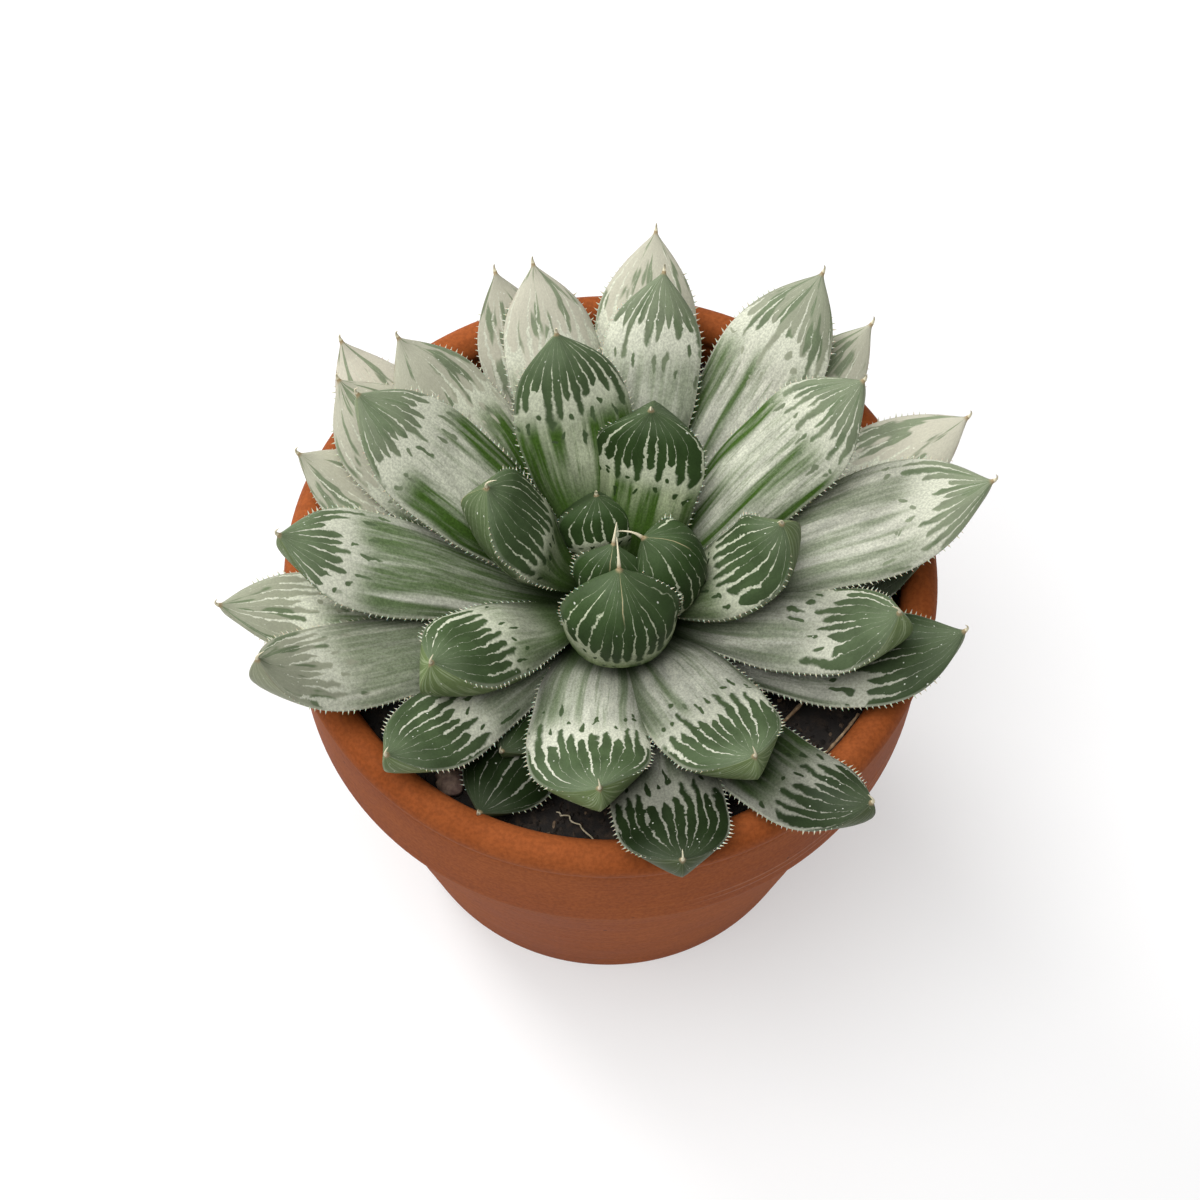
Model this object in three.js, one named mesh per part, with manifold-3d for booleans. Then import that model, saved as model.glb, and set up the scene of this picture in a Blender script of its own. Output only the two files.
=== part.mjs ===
// A variegated window haworthia, a rosette of thick fleshy leaves, in a small terracotta pot.
// Millimetres, +Z up. The origin is on the pot's axis, at the level of its base.

import * as THREE from 'three';
import { mergeVertices } from 'three/addons/utils/BufferGeometryUtils.js';
import Module from 'manifold-3d';

const wasm = await Module();
wasm.setup();

// Pot
const rimRadius = 52.5;
const potHeight = 80;
const collarFootZ = 54.5;
const collarFootRadius = 50.4;
const bodyTopRadius = 48;
const baseRadius = 34.8;
const lipWidth = 6;
const lipHeight = 5.5;
const wall = 4.6;
const floorThickness = 6;
const drainRadius = 5.5;
const potSides = 40;
const footBevel = 1;
const collarStep = 0.8;
const grooveDepth = 0.9;

// Soil, stem and roots
const soilLevel = 72;
const soilBump = 0.7;
const clearance = 0.3;
const sliver = 0.05;
const stemFootZ = 60;
const stemTopZ = 83;
const stemBaseRadius = 9.4;
const rootCount = 5;
const rootReach = 24;
const rootFootZ = 22;
const rootTopRadius = 2.4;
const rootTipRadius = 0.9;
const soilSides = 32;
const soilRings = 5;
const stemSides = 16;
const rootSides = 6;

// Rosette: the leaves sit in tiers round a cone-shaped stem, and the axis stands a little
// in front of the pot's own axis
const rosetteAxis = new THREE.Vector2(0.5, -4);
const lowestSeat = { radius: 10.2, height: 74 };
const tierStep = { radius: -1.24, height: 1.6 };
const tierThickness = { lowest: 4.6, step: 0.6 };

// Blade: shares of the length, width and thickness
const stations = [0, 0.15, 0.3, 0.44, 0.57, 0.69, 0.8, 0.89, 0.955];
const widestAt = 0.66;
const seatWidthShare = 0.34;
const neckPower = 1.15;
const thickestAt = 0.7;
const seatDepthShare = 0.35;
const seatHollow = 0.05;
const swelling = 0.45;
const shoulderPower = 0.7;
const crownTaper = 2.2;
const bellyTaper = 6;
const heartKeel = 0.3;
const upperPoints = 4;
const lowerPoints = 5;
const flickStart = 0.55;
const awnRadius = 0.35;
const toothLength = 0.7;
const toothHalfWidth = 0.4;
const firstToothStation = 2;
const lastToothStation = 7;

// Every leaf. tier: 0 is the lowest ring and 5 the heart. turn: compass direction in the plan.
// rise: slope at the seat. bend: change of slope over the length. flick: extra upturn of the
// end. swing: sideways curve. roll: twist. length, width and thick in mm, awn: bristle length.
// neck: how slowly the leaf broadens from its seat, a lower number making it broad from the start.
const leaves = [
  {
    name: 'heart_leaf_1', tier: 5, turn: 275, rise: 40, bend: 80,
    length: 26.5, width: 19, thick: 8.5, awn: 5,
  },
  {
    name: 'heart_leaf_2', tier: 5, turn: 345, rise: 45, bend: 85,
    length: 23, width: 14.5, thick: 7, awn: 4,
  },
  {
    name: 'heart_leaf_3', tier: 5, turn: 104, rise: 48, bend: 8,
    length: 14, width: 13.5, thick: 7, awn: 2,
  },
  {
    name: 'heart_leaf_4', tier: 5, turn: 262, rise: 60, bend: 60,
    length: 18, width: 12, thick: 4, awn: 3.5,
  },

  {
    name: 'upper_leaf_1', tier: 4, turn: 163, rise: 52, flick: 20, roll: 10,
    length: 27.5, width: 17, awn: 3,
  },
  { name: 'upper_leaf_2', tier: 4, turn: 107, rise: 42, bend: 6, flick: 5, length: 39, width: 19 },
  {
    name: 'upper_leaf_3', tier: 4, turn: 68, rise: 50, bend: 10, flick: 15, swing: 30, roll: -10,
    length: 28.5, width: 18.5, neck: 0.6,
  },
  {
    name: 'upper_leaf_4', tier: 4, turn: 350, rise: 32, bend: 18, flick: 25, swing: 55,
    length: 31, width: 15.5,
  },
  {
    name: 'upper_leaf_5', tier: 3, turn: 214, rise: 28, flick: 30, swing: 15,
    length: 35, width: 15.5, thick: 8,
  },

  { name: 'middle_leaf_1', tier: 3, turn: 152, rise: 31, flick: 15, length: 47.5, width: 19, neck: 0.8 },
  { name: 'middle_leaf_2', tier: 3, turn: 32, rise: 33, flick: 10, length: 48, width: 18.5 },
  { name: 'middle_leaf_3', tier: 2, turn: 181, rise: 23, flick: 25, length: 50.5, width: 18 },
  {
    name: 'middle_leaf_4', tier: 2, turn: 225, rise: 12, bend: 2, flick: 42,
    length: 45, width: 14.5, thick: 5.5,
  },
  {
    name: 'middle_leaf_5', tier: 2, turn: 260, rise: 18, bend: 4, flick: 40, swing: 30,
    length: 38.5, width: 19.5, neck: 0.55,
  },
  {
    name: 'middle_leaf_6', tier: 2, turn: 301, rise: 20, bend: 4, flick: 40,
    length: 40, width: 19, neck: 0.55,
  },
  {
    name: 'middle_leaf_7', tier: 2, turn: 341, rise: 20, bend: 4, flick: 55, swing: 10,
    length: 46, width: 16,
  },
  { name: 'middle_leaf_8', tier: 2, turn: 9, rise: 25, bend: -6, flick: 15, length: 57.5, width: 19.5 },
  { name: 'middle_leaf_9', tier: 2, turn: 81, rise: 28, flick: 5, length: 46.5, width: 16.5 },
  { name: 'middle_leaf_10', tier: 1, turn: 202.5, rise: 17, flick: 60, length: 58, width: 16 },
  { name: 'middle_leaf_11', tier: 1, turn: 56, rise: 22, flick: 10, length: 55, width: 18.5 },
  { name: 'middle_leaf_12', tier: 1, turn: 105, rise: 25, flick: 10, length: 48.5, width: 16 },
  { name: 'middle_leaf_13', tier: 1, turn: 134, rise: 26, flick: 15, length: 47, width: 17 },

  { name: 'outer_leaf_1', tier: 1, turn: 149, rise: 17, flick: 25, swing: -15, length: 49, width: 19 },
  {
    name: 'outer_leaf_2', tier: 1, turn: 239, rise: 5, bend: 6, flick: 25,
    length: 25.5, width: 12, thick: 3.5,
  },
  { name: 'outer_leaf_3', tier: 0, turn: 158, rise: 10, bend: 6, flick: 25, length: 47, width: 15 },
  { name: 'outer_leaf_4', tier: 0, turn: 188, rise: 16, bend: -4, flick: 25, length: 55.3, width: 15.5 },
  { name: 'outer_leaf_5', tier: 0, turn: 242, rise: 4, bend: 2, flick: 25, length: 34.5, width: 15 },
  {
    name: 'outer_leaf_6', tier: 0, turn: 283.5, rise: 17, bend: -2, flick: 52, swing: -8,
    length: 49, width: 18,
  },
  { name: 'outer_leaf_7', tier: 0, turn: 305, rise: 15.5, flick: 50, swing: 30, length: 55, width: 15 },
  { name: 'outer_leaf_8', tier: 0, turn: 337, rise: 16, flick: 30, swing: 40, length: 51, width: 16.5 },
  { name: 'outer_leaf_9', tier: 0, turn: 5, rise: 12, flick: 25, length: 41, width: 14 },
  { name: 'outer_leaf_10', tier: 0, turn: 25, rise: 15, bend: 2, flick: 15, length: 55, width: 17 },
  { name: 'outer_leaf_11', tier: 0, turn: 47, rise: 15, flick: 15, length: 53, width: 14 },
  { name: 'outer_leaf_12', tier: 0, turn: 84, rise: 18, flick: 10, length: 53.5, width: 16.5 },
  { name: 'outer_leaf_13', tier: 0, turn: 110, rise: 13, bend: 2, flick: 15, length: 50, width: 14 },
  {
    name: 'outer_leaf_14', tier: 0, turn: 143, rise: 11, bend: 4, flick: 25, swing: -20,
    length: 53, width: 16,
  },
];

// The heart leaves' own seats, on the rounded top of the stem
const heartSeats = {
  heart_leaf_1: { radius: 4, height: 79.5 },
  heart_leaf_2: { radius: 3.5, height: 79.5 },
  heart_leaf_3: { radius: 3.5, height: 79.5 },
  heart_leaf_4: { radius: 1, height: 81 },
};

// Dry bits on the soil: two flower-stalk twigs by the right wall and a withered leaf at the left
const twigs = [
  { name: 'dry_twig_1', from: [39, -11.5, 76.5], to: [25.5, -26, 73], radius: 0.45 },
  { name: 'dry_twig_2', from: [39.5, -23.5, 76.5], to: [33, -30.5, 73], radius: 0.4 },
];
const twigSides = 6;
const twigBow = new THREE.Vector3(0.8, 0.5, 0.4);
const dryLeaf = {
  centre: [-25.2, -33.4, 73.4], turn: 105, length: 8, width: 5.4, height: 3.2, crease: 0.16,
};

const material = (name, color, roughness) => {
  const made = new THREE.MeshStandardMaterial({ color, roughness, metalness: 0 });
  made.name = name;
  return made;
};
const terracotta = () => material('terracotta', 0xb5623d, 0.85);
const potting = () => material('soil', 0x1d1712, 0.95);
const stemTissue = () => material('stem', 0x9aa06a, 0.7);
const leafTissue = () => material('leaf', 0x8fa487, 0.45);
const dryTissue = () => material('dry_matter', 0x8a6a48, 0.85);

const radians = (degrees) => degrees * Math.PI / 180;
const mix = (a, b, t) => a + (b - a) * t;
const clamp01 = (t) => Math.min(1, Math.max(0, t));
const smooth = (t) => clamp01(t) ** 2 * (3 - 2 * clamp01(t));

// A closed body from its vertices and triangles
function solidFrom(points, triangles) {
  const vertProperties = new Float32Array(points.flatMap((p) => [p.x, p.y, p.z]));
  const triVerts = new Uint32Array(triangles.flat());
  return new wasm.Manifold(new wasm.Mesh({ numProp: 3, vertProperties, triVerts }));
}

function solidFromGeometry(geometry) {
  const bare = geometry.clone();
  bare.deleteAttribute('normal');
  bare.deleteAttribute('uv');
  const merged = mergeVertices(bare, 1e-4);
  const vertProperties = new Float32Array(merged.attributes.position.array);
  const triVerts = new Uint32Array(merged.index.array);
  return new wasm.Manifold(new wasm.Mesh({ numProp: 3, vertProperties, triVerts }));
}

function meshFrom(name, solid, look) {
  const shape = solid.getMesh();
  const geometry = new THREE.BufferGeometry();
  const positions = Float32Array.from(shape.vertProperties);
  geometry.setAttribute('position', new THREE.BufferAttribute(positions, 3));
  geometry.setIndex(new THREE.BufferAttribute(Uint32Array.from(shape.triVerts), 1));
  geometry.computeVertexNormals();
  const mesh = new THREE.Mesh(geometry, look);
  mesh.name = name;
  return mesh;
}

// A body turned round the pot's axis, from a profile of [radius, height] pairs
function turned(profile, sides) {
  const points = profile.map(([radius, height]) => new THREE.Vector2(radius, height));
  const geometry = new THREE.LatheGeometry(points, sides);
  geometry.rotateX(Math.PI / 2);
  return solidFromGeometry(geometry);
}

// A bar through the points, with its own radius at each. grow makes it larger all round.
function taperedBar(points, radii, sides, grow = 0) {
  const vertices = [];
  const triangles = [];
  points.forEach((node, i) => {
    const before = points[Math.max(0, i - 1)];
    const after = points[Math.min(points.length - 1, i + 1)];
    const along = after.clone().sub(before).normalize();
    const stretch = (i === points.length - 1) - (i === 0);
    const point = node.clone().addScaledVector(along, stretch * grow);
    const across = new THREE.Vector3(0, 0, 1).cross(along).normalize();
    const over = along.clone().cross(across);
    for (let j = 0; j < sides; j += 1) {
      const angle = 2 * Math.PI * j / sides;
      vertices.push(point.clone()
        .addScaledVector(across, (radii[i] + grow) * Math.cos(angle))
        .addScaledVector(over, (radii[i] + grow) * Math.sin(angle)));
    }
  });
  for (let i = 0; i + 1 < points.length; i += 1) {
    for (let j = 0; j < sides; j += 1) {
      const a = i * sides + j;
      const b = i * sides + (j + 1) % sides;
      triangles.push([a, b, b + sides], [a, b + sides, a + sides]);
    }
  }
  const last = (points.length - 1) * sides;
  for (let j = 1; j + 1 < sides; j += 1) {
    triangles.push([0, j + 1, j], [last, last + j, last + j + 1]);
  }
  return solidFrom(vertices, triangles);
}

// Pot: rounded lip, shallow groove under it, deep collar, step, tapering body, drain hole
function potSolid(grow = 0) {
  const top = potHeight + grow;
  const rim = rimRadius + grow;
  const lipInner = rimRadius - lipWidth - grow;
  const innerTop = collarFootRadius - wall - grow;
  const innerFoot = baseRadius - wall - grow;
  return turned([
    [drainRadius - grow, floorThickness + grow],
    [drainRadius - grow, -grow],
    [baseRadius - footBevel + grow, -grow],
    [baseRadius + grow, footBevel - grow],
    [bodyTopRadius + grow, collarFootZ - collarStep],
    [collarFootRadius - 0.4 + grow, collarFootZ - grow],
    [collarFootRadius + grow, collarFootZ + collarStep - grow],
    [rim - grooveDepth, potHeight - lipHeight - 1],
    [rim - grooveDepth, potHeight - lipHeight],
    [rim - 0.15, potHeight - lipHeight + 1.2],
    [rim, potHeight - 3],
    [rim - 0.6, top - 1.1],
    [rim - 1.8, top - 0.2],
    [rim - lipWidth / 2, top],
    [lipInner + 1.6, top - 0.3],
    [lipInner + 0.4, top - 1.4],
    [lipInner, top - 3],
    [lipInner - 0.2, potHeight - lipHeight],
    [innerTop, collarFootZ],
    [innerFoot, floorThickness + 1.5 + grow],
    [innerFoot - 2, floorThickness + grow],
    [drainRadius - grow, floorThickness + grow],
  ], potSides);
}

// Inner radius of the pot at a height between its floor and the lip
function innerRadius(z) {
  const share = (z - floorThickness) / (collarFootZ - floorThickness);
  if (share < 1) {
    return mix(baseRadius - wall, collarFootRadius - wall, share);
  }
  const upper = (z - collarFootZ) / (potHeight - lipHeight - collarFootZ);
  return mix(collarFootRadius - wall, rimRadius - lipWidth - 0.2, upper);
}

// Potting mix: fills the pot to just under the rim, with an uneven top
function soilSolid() {
  const bump = (x, y) => soilBump * (Math.sin(0.31 * x + 1.3) * Math.cos(0.27 * y - 0.6)
    + 0.5 * Math.sin(0.83 * x - 0.7 * y));
  const levels = [collarFootZ, floorThickness + 3, floorThickness + clearance + 0.5];
  const footInset = 2.2;
  const vertices = [new THREE.Vector3(0, 0, soilLevel + bump(0, 0))];
  const rows = [];
  const addRow = (radius, height) => {
    const row = [];
    for (let j = 0; j < soilSides; j += 1) {
      const angle = 2 * Math.PI * j / soilSides;
      const x = radius * Math.cos(angle);
      const y = radius * Math.sin(angle);
      row.push(vertices.length);
      vertices.push(new THREE.Vector3(x, y, height(x, y)));
    }
    rows.push(row);
  };
  // The soil and the pot have different numbers of sides, so the gap is twice the clearance
  const within = (z) => innerRadius(z) - 2 * clearance;
  for (let ring = 1; ring <= soilRings; ring += 1) {
    addRow(within(soilLevel) * ring / soilRings, (x, y) => soilLevel + bump(x, y));
  }
  levels.forEach((level, i) => {
    addRow(within(level) - (i === levels.length - 1 ? footInset : 0), () => level);
  });
  const triangles = [];
  for (let j = 0; j < soilSides; j += 1) {
    triangles.push([0, rows[0][j], rows[0][(j + 1) % soilSides]]);
  }
  for (let i = 0; i + 1 < rows.length; i += 1) {
    for (let j = 0; j < soilSides; j += 1) {
      const k = (j + 1) % soilSides;
      triangles.push([rows[i][j], rows[i + 1][j], rows[i + 1][k]]);
      triangles.push([rows[i][j], rows[i + 1][k], rows[i][k]]);
    }
  }
  const foot = rows[rows.length - 1];
  const centre = vertices.length;
  vertices.push(new THREE.Vector3(0, 0, levels[levels.length - 1]));
  for (let j = 0; j < soilSides; j += 1) {
    triangles.push([centre, foot[(j + 1) % soilSides], foot[j]]);
  }
  return solidFrom(vertices, triangles);
}

// Stem: a short cone that carries every leaf, with thick storage roots below it
function stemSolid(grow = 0) {
  const profile = [
    [0, stemFootZ - grow],
    [4 + grow, stemFootZ + 1 - grow],
    [stemBaseRadius - 1 + grow, 68],
    [stemBaseRadius + grow, lowestSeat.height],
    [2.6 + grow, stemTopZ - 1.2 + grow],
    [1.4 + grow, stemTopZ - 0.3 + grow],
    [0, stemTopZ + grow],
  ];
  let stem = turned(profile, stemSides).translate([rosetteAxis.x, rosetteAxis.y, 0]);
  for (let k = 0; k < rootCount; k += 1) {
    const angle = 2 * Math.PI * (k + 0.3) / rootCount;
    const points = [];
    const radii = [];
    for (let i = 0; i <= 4; i += 1) {
      const share = i / 4;
      const reach = mix(3, rootReach, share ** 0.8);
      const wander = angle + 0.35 * Math.sin(3 * share + k);
      points.push(new THREE.Vector3(
        rosetteAxis.x + reach * Math.cos(wander),
        rosetteAxis.y + reach * Math.sin(wander),
        mix(stemFootZ + 5, rootFootZ + 4 * (k % 3), share ** 1.4),
      ));
      radii.push(mix(rootTopRadius, rootTipRadius, share));
    }
    stem = stem.add(taperedBar(points, radii, rootSides, grow));
  }
  return stem;
}

// The half width and the depth below the margins, as shares of the greatest
function widthShare(u, neck) {
  if (u < widestAt) {
    return seatWidthShare + (1 - seatWidthShare) * Math.sin(Math.PI / 2 * u / widestAt) ** neck;
  }
  return (1 - ((u - widestAt) / (1 - widestAt)) ** 2.5) ** 1.15;
}

function depthShare(u) {
  if (u < thickestAt) {
    return seatDepthShare + (1 - seatDepthShare) * Math.sin(Math.PI / 2 * u / thickestAt);
  }
  return Math.sqrt(1 - ((u - thickestAt) / (1 - thickestAt)) ** 2.6);
}

// The leaf's midline: a point and three directions (along, side, up) at each station
function midline(leaf) {
  const { tier, turn, rise, bend = 0, flick = 0, swing = 0, roll = 0, length } = leaf;
  const seat = heartSeats[leaf.name] ?? {
    radius: lowestSeat.radius + tierStep.radius * tier,
    height: lowestSeat.height + tierStep.height * tier,
  };
  const slope = (u) => radians(rise + bend * u
    + flick * Math.max(0, (u - flickStart) / (1 - flickStart)) ** 2);
  const heading = (u) => radians(turn + swing * u * u);
  const direction = (u) => new THREE.Vector3(
    Math.cos(heading(u)) * Math.cos(slope(u)),
    Math.sin(heading(u)) * Math.cos(slope(u)),
    Math.sin(slope(u)),
  );
  const point = new THREE.Vector3(
    rosetteAxis.x + seat.radius * Math.cos(radians(turn)),
    rosetteAxis.y + seat.radius * Math.sin(radians(turn)),
    seat.height,
  );
  const frames = [];
  const steps = 8;
  const reached = [...stations, 1];
  reached.forEach((u, i) => {
    const from = i === 0 ? 0 : reached[i - 1];
    for (let k = 0; k < steps; k += 1) {
      const middle = mix(from, u, (k + 0.5) / steps);
      point.addScaledVector(direction(middle), length * (u - from) / steps);
    }
    const along = direction(u);
    const level = new THREE.Vector3(-Math.sin(heading(u)), Math.cos(heading(u)), 0);
    const above = along.clone().cross(level);
    const side = level.clone().multiplyScalar(Math.cos(radians(roll)))
      .addScaledVector(above, Math.sin(radians(roll)));
    frames.push({ u, point: point.clone(), along, side, up: along.clone().cross(side) });
  });
  return frames;
}

// One leaf: an upper face hollow at the seat and swollen towards the end, a round underside
// that sharpens into a keel, a toothed margin, and a bristle (awn) at the apex. grow makes the
// same shape larger all round, which keeps neighbours apart.
function leafSolid(leaf, grow = 0) {
  const thick = leaf.thick ?? tierThickness.lowest + tierThickness.step * leaf.tier;
  const neck = leaf.neck ?? neckPower;
  const early = neck / neckPower;
  const frames = midline(leaf);
  const vertices = [];
  const triangles = [];
  const rowLength = upperPoints + lowerPoints;
  const leftMargin = 0;
  const rightMargin = upperPoints - 1;
  const place = (frame, across, height, along = 0) => {
    vertices.push(frame.point.clone()
      .addScaledVector(frame.side, across)
      .addScaledVector(frame.up, height)
      .addScaledVector(frame.along, along));
    return vertices.length - 1;
  };
  const rows = stations.map((u, i) => {
    const frame = frames[i];
    const share = widthShare(u, neck);
    const half = leaf.width / 2 * share + grow;
    const keel = (heartSeats[leaf.name] ? heartKeel : 1) * smooth((u - 0.35) / 0.6);
    const grown = mix(-seatHollow, swelling, smooth((u - 0.12 * early) / (0.4 * early)));
    const swell = grown * (1 - (1 - share) ** crownTaper);
    const depth = thick * depthShare(u) * (1 - (1 - share) ** bellyTaper);
    const row = [];
    for (let j = 0; j < upperPoints; j += 1) {
      const x = Math.cos(Math.PI * j / (upperPoints - 1));
      const inside = j > 0 && j < upperPoints - 1;
      const crown = swell * (1 - x * x) ** shoulderPower;
      const height = thick * depthShare(u) * crown + (inside ? grow : 0);
      row.push(place(frame, half * x, height));
    }
    for (let j = 1; j <= lowerPoints; j += 1) {
      const x = -Math.cos(Math.PI * j / (lowerPoints + 1));
      const round = (1 - Math.abs(x) ** mix(2.2, 1.25, keel)) ** (1 / mix(1.8, 1.05, keel));
      row.push(place(frame, half * x, -depth * round - grow));
    }
    return row;
  });
  const tip = frames[frames.length - 1];
  const awnRow = [];
  for (let j = 0; j < rowLength; j += 1) {
    const angle = 2 * Math.PI * j / rowLength;
    awnRow.push(place(tip, (awnRadius + grow) * Math.cos(angle), (awnRadius + grow) * Math.sin(angle)));
  }
  rows.push(awnRow);
  const awn = (leaf.awn ?? 2) + grow;
  const awnTip = place(tip, 0, 0.75 * awn, 0.65 * awn);

  const tooth = (i, margin, sign) => {
    const before = vertices[rows[i][margin]];
    const after = vertices[rows[i + 1][margin]];
    const along = after.clone().sub(before).normalize();
    const middle = before.clone().lerp(after, 0.5);
    const out = frames[i].side.clone().multiplyScalar(sign);
    const foot = toothHalfWidth + grow;
    vertices.push(middle.clone().addScaledVector(along, -foot));
    vertices.push(middle.clone().addScaledVector(out, toothLength + grow).addScaledVector(along, foot));
    vertices.push(middle.clone().addScaledVector(along, foot));
    return [vertices.length - 3, vertices.length - 2, vertices.length - 1];
  };

  for (let i = 0; i + 1 < rows.length; i += 1) {
    const toothed = i >= firstToothStation && i < lastToothStation;
    const teeth = toothed
      ? { [leftMargin]: tooth(i, leftMargin, 1), [rightMargin]: tooth(i, rightMargin, -1) }
      : {};
    for (let j = 0; j < rowLength; j += 1) {
      const k = (j + 1) % rowLength;
      const [a, b, c, d] = [rows[i][j], rows[i][k], rows[i + 1][k], rows[i + 1][j]];
      if (teeth[j]) {
        const [foot, point, heel] = teeth[j];
        triangles.push([a, b, foot], [b, point, foot], [b, c, point], [c, heel, point], [c, d, heel]);
      } else if (teeth[k]) {
        const [foot, point, heel] = teeth[k];
        triangles.push([a, b, foot], [a, foot, point], [a, point, d], [d, point, heel], [d, heel, c]);
      } else {
        triangles.push([a, b, c], [a, c, d]);
      }
    }
  }
  for (let j = 1; j + 1 < rowLength; j += 1) {
    triangles.push([rows[0][0], rows[0][j + 1], rows[0][j]]);
  }
  for (let j = 0; j < rowLength; j += 1) {
    triangles.push([awnRow[j], awnRow[(j + 1) % rowLength], awnTip]);
  }
  return solidFrom(vertices, triangles);
}

function twigSolid({ from, to, radius }, grow = 0) {
  const [start, end] = [new THREE.Vector3(...from), new THREE.Vector3(...to)];
  const bow = start.clone().lerp(end, 0.5).add(twigBow);
  return taperedBar([start, bow, end], [radius * 0.8, radius, radius], twigSides, grow);
}

// The withered leaf: a small creased pod, lying on its side
function dryLeafSolid(grow = 0) {
  const { centre, turn, length, width, height, crease } = dryLeaf;
  const rings = 7;
  const sides = 10;
  const [along, side] = [radians(turn), radians(turn + 90)];
  const vertices = [];
  const triangles = [];
  const place = (x, y, z) => vertices.push(new THREE.Vector3(
    centre[0] + x * Math.cos(along) + y * Math.cos(side),
    centre[1] + x * Math.sin(along) + y * Math.sin(side),
    centre[2] + z,
  ));
  place(-length / 2 - grow, 0, 0);
  for (let i = 1; i < rings; i += 1) {
    const polar = Math.PI * i / rings;
    for (let j = 0; j < sides; j += 1) {
      const round = 2 * Math.PI * j / sides;
      const size = Math.sin(polar) * (1 + crease * Math.sin(3 * round + 1.7 * i));
      place(
        -(length / 2 + grow) * Math.cos(polar),
        (width / 2 * size + grow) * Math.cos(round),
        (height / 2 * size + grow) * Math.sin(round),
      );
    }
  }
  place(length / 2 + grow, 0, 0);
  const end = vertices.length - 1;
  for (let j = 0; j < sides; j += 1) {
    const k = (j + 1) % sides;
    triangles.push([0, 1 + k, 1 + j]);
    for (let i = 0; i + 2 < rings; i += 1) {
      const [a, b] = [1 + i * sides + j, 1 + i * sides + k];
      triangles.push([a, b, b + sides], [a, b + sides, a + sides]);
    }
    triangles.push([end - sides + j, end - sides + k, end]);
  }
  return solidFrom(vertices, triangles);
}

// Largest body of a cut solid: the scraps that a cut leaves are dropped
function largestBody(solid) {
  const bodies = solid.decompose();
  return bodies.reduce((best, body) => (body.volume() > best.volume() ? body : best));
}

function boxesMeet(a, b) {
  const [first, second] = [a.boundingBox(), b.boundingBox()];
  return [0, 1, 2].every((axis) => first.min[axis] < second.max[axis]
    && second.min[axis] < first.max[axis]);
}

// Cuts a body clear of each of the others that it would run into, and takes out the slivers
// thinner than the given size that cutting leaves
function clearOf(solid, others) {
  let left = solid;
  others.forEach((other) => {
    if (boxesMeet(left, other)) {
      left = left.subtract(other);
    }
  });
  return largestBody(left.simplify(sliver));
}

const group = new THREE.Group();

group.add(meshFrom('pot', potSolid(), terracotta()));
group.add(meshFrom('stem_and_roots', stemSolid(), stemTissue()));

const keepClear = [stemSolid(clearance), potSolid(clearance)];
const grownPotIndex = 1;
leaves.forEach((leaf) => {
  group.add(meshFrom(leaf.name, clearOf(leafSolid(leaf), keepClear), leafTissue()));
  keepClear.push(leafSolid(leaf, clearance));
});

// What rests on the soil is bedded in it, and the soil is cut last
twigs.forEach((twig) => {
  group.add(meshFrom(twig.name, clearOf(twigSolid(twig), keepClear), dryTissue()));
});
group.add(meshFrom('dry_leaf', clearOf(dryLeafSolid(), keepClear), dryTissue()));

const sunk = keepClear.filter((_, i) => i !== grownPotIndex);
twigs.forEach((twig) => sunk.push(twigSolid(twig, clearance)));
sunk.push(dryLeafSolid(clearance));
group.add(meshFrom('soil', clearOf(soilSolid(), sunk), potting()));

export default group;
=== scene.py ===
"""Potted window haworthia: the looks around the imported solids.

Lengths in the settings are metres. The leaf table and the functions that build from it work in
millimetres, as the part's own source does, and a mesh is scaled to metres when it is made.
"""

import math

import bmesh
import bpy
import numpy as np
from bpy.props import FloatProperty, FloatVectorProperty, IntProperty, PointerProperty
from mathutils import Matrix, Vector, noise


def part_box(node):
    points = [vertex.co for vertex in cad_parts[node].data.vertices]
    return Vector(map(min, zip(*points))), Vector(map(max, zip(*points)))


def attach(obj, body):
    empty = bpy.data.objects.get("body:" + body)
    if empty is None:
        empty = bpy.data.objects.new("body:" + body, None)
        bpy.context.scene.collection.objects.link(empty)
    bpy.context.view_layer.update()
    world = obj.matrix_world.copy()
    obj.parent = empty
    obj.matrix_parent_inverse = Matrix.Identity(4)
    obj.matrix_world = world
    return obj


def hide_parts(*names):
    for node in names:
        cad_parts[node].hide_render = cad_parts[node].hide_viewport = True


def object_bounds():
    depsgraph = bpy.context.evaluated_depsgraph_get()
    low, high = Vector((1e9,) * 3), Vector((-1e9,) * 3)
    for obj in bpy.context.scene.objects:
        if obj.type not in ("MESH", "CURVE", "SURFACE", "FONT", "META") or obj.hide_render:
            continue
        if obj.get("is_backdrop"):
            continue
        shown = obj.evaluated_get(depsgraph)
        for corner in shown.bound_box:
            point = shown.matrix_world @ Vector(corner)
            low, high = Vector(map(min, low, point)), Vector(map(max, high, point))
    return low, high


bl_info = {
    "name": "Potted Haworthia",
    "version": (1, 0, 0),
    "blender": (4, 5, 0),
    "location": "3D View > Sidebar > Haworthia",
    "description": "Clay pot, potting mix, striped window leaves and dry litter around the packed solids",
    "category": "Object",
}

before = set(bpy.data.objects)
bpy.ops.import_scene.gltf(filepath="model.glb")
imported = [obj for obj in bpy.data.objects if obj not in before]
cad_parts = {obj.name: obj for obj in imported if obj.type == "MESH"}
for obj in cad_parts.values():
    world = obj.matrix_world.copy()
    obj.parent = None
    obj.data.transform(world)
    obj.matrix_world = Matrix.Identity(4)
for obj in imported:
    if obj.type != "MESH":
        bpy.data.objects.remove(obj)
CAD_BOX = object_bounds()
POT_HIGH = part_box("pot")[1]
SOIL_LOW, SOIL_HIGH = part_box("soil")
MM = 0.001

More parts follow.
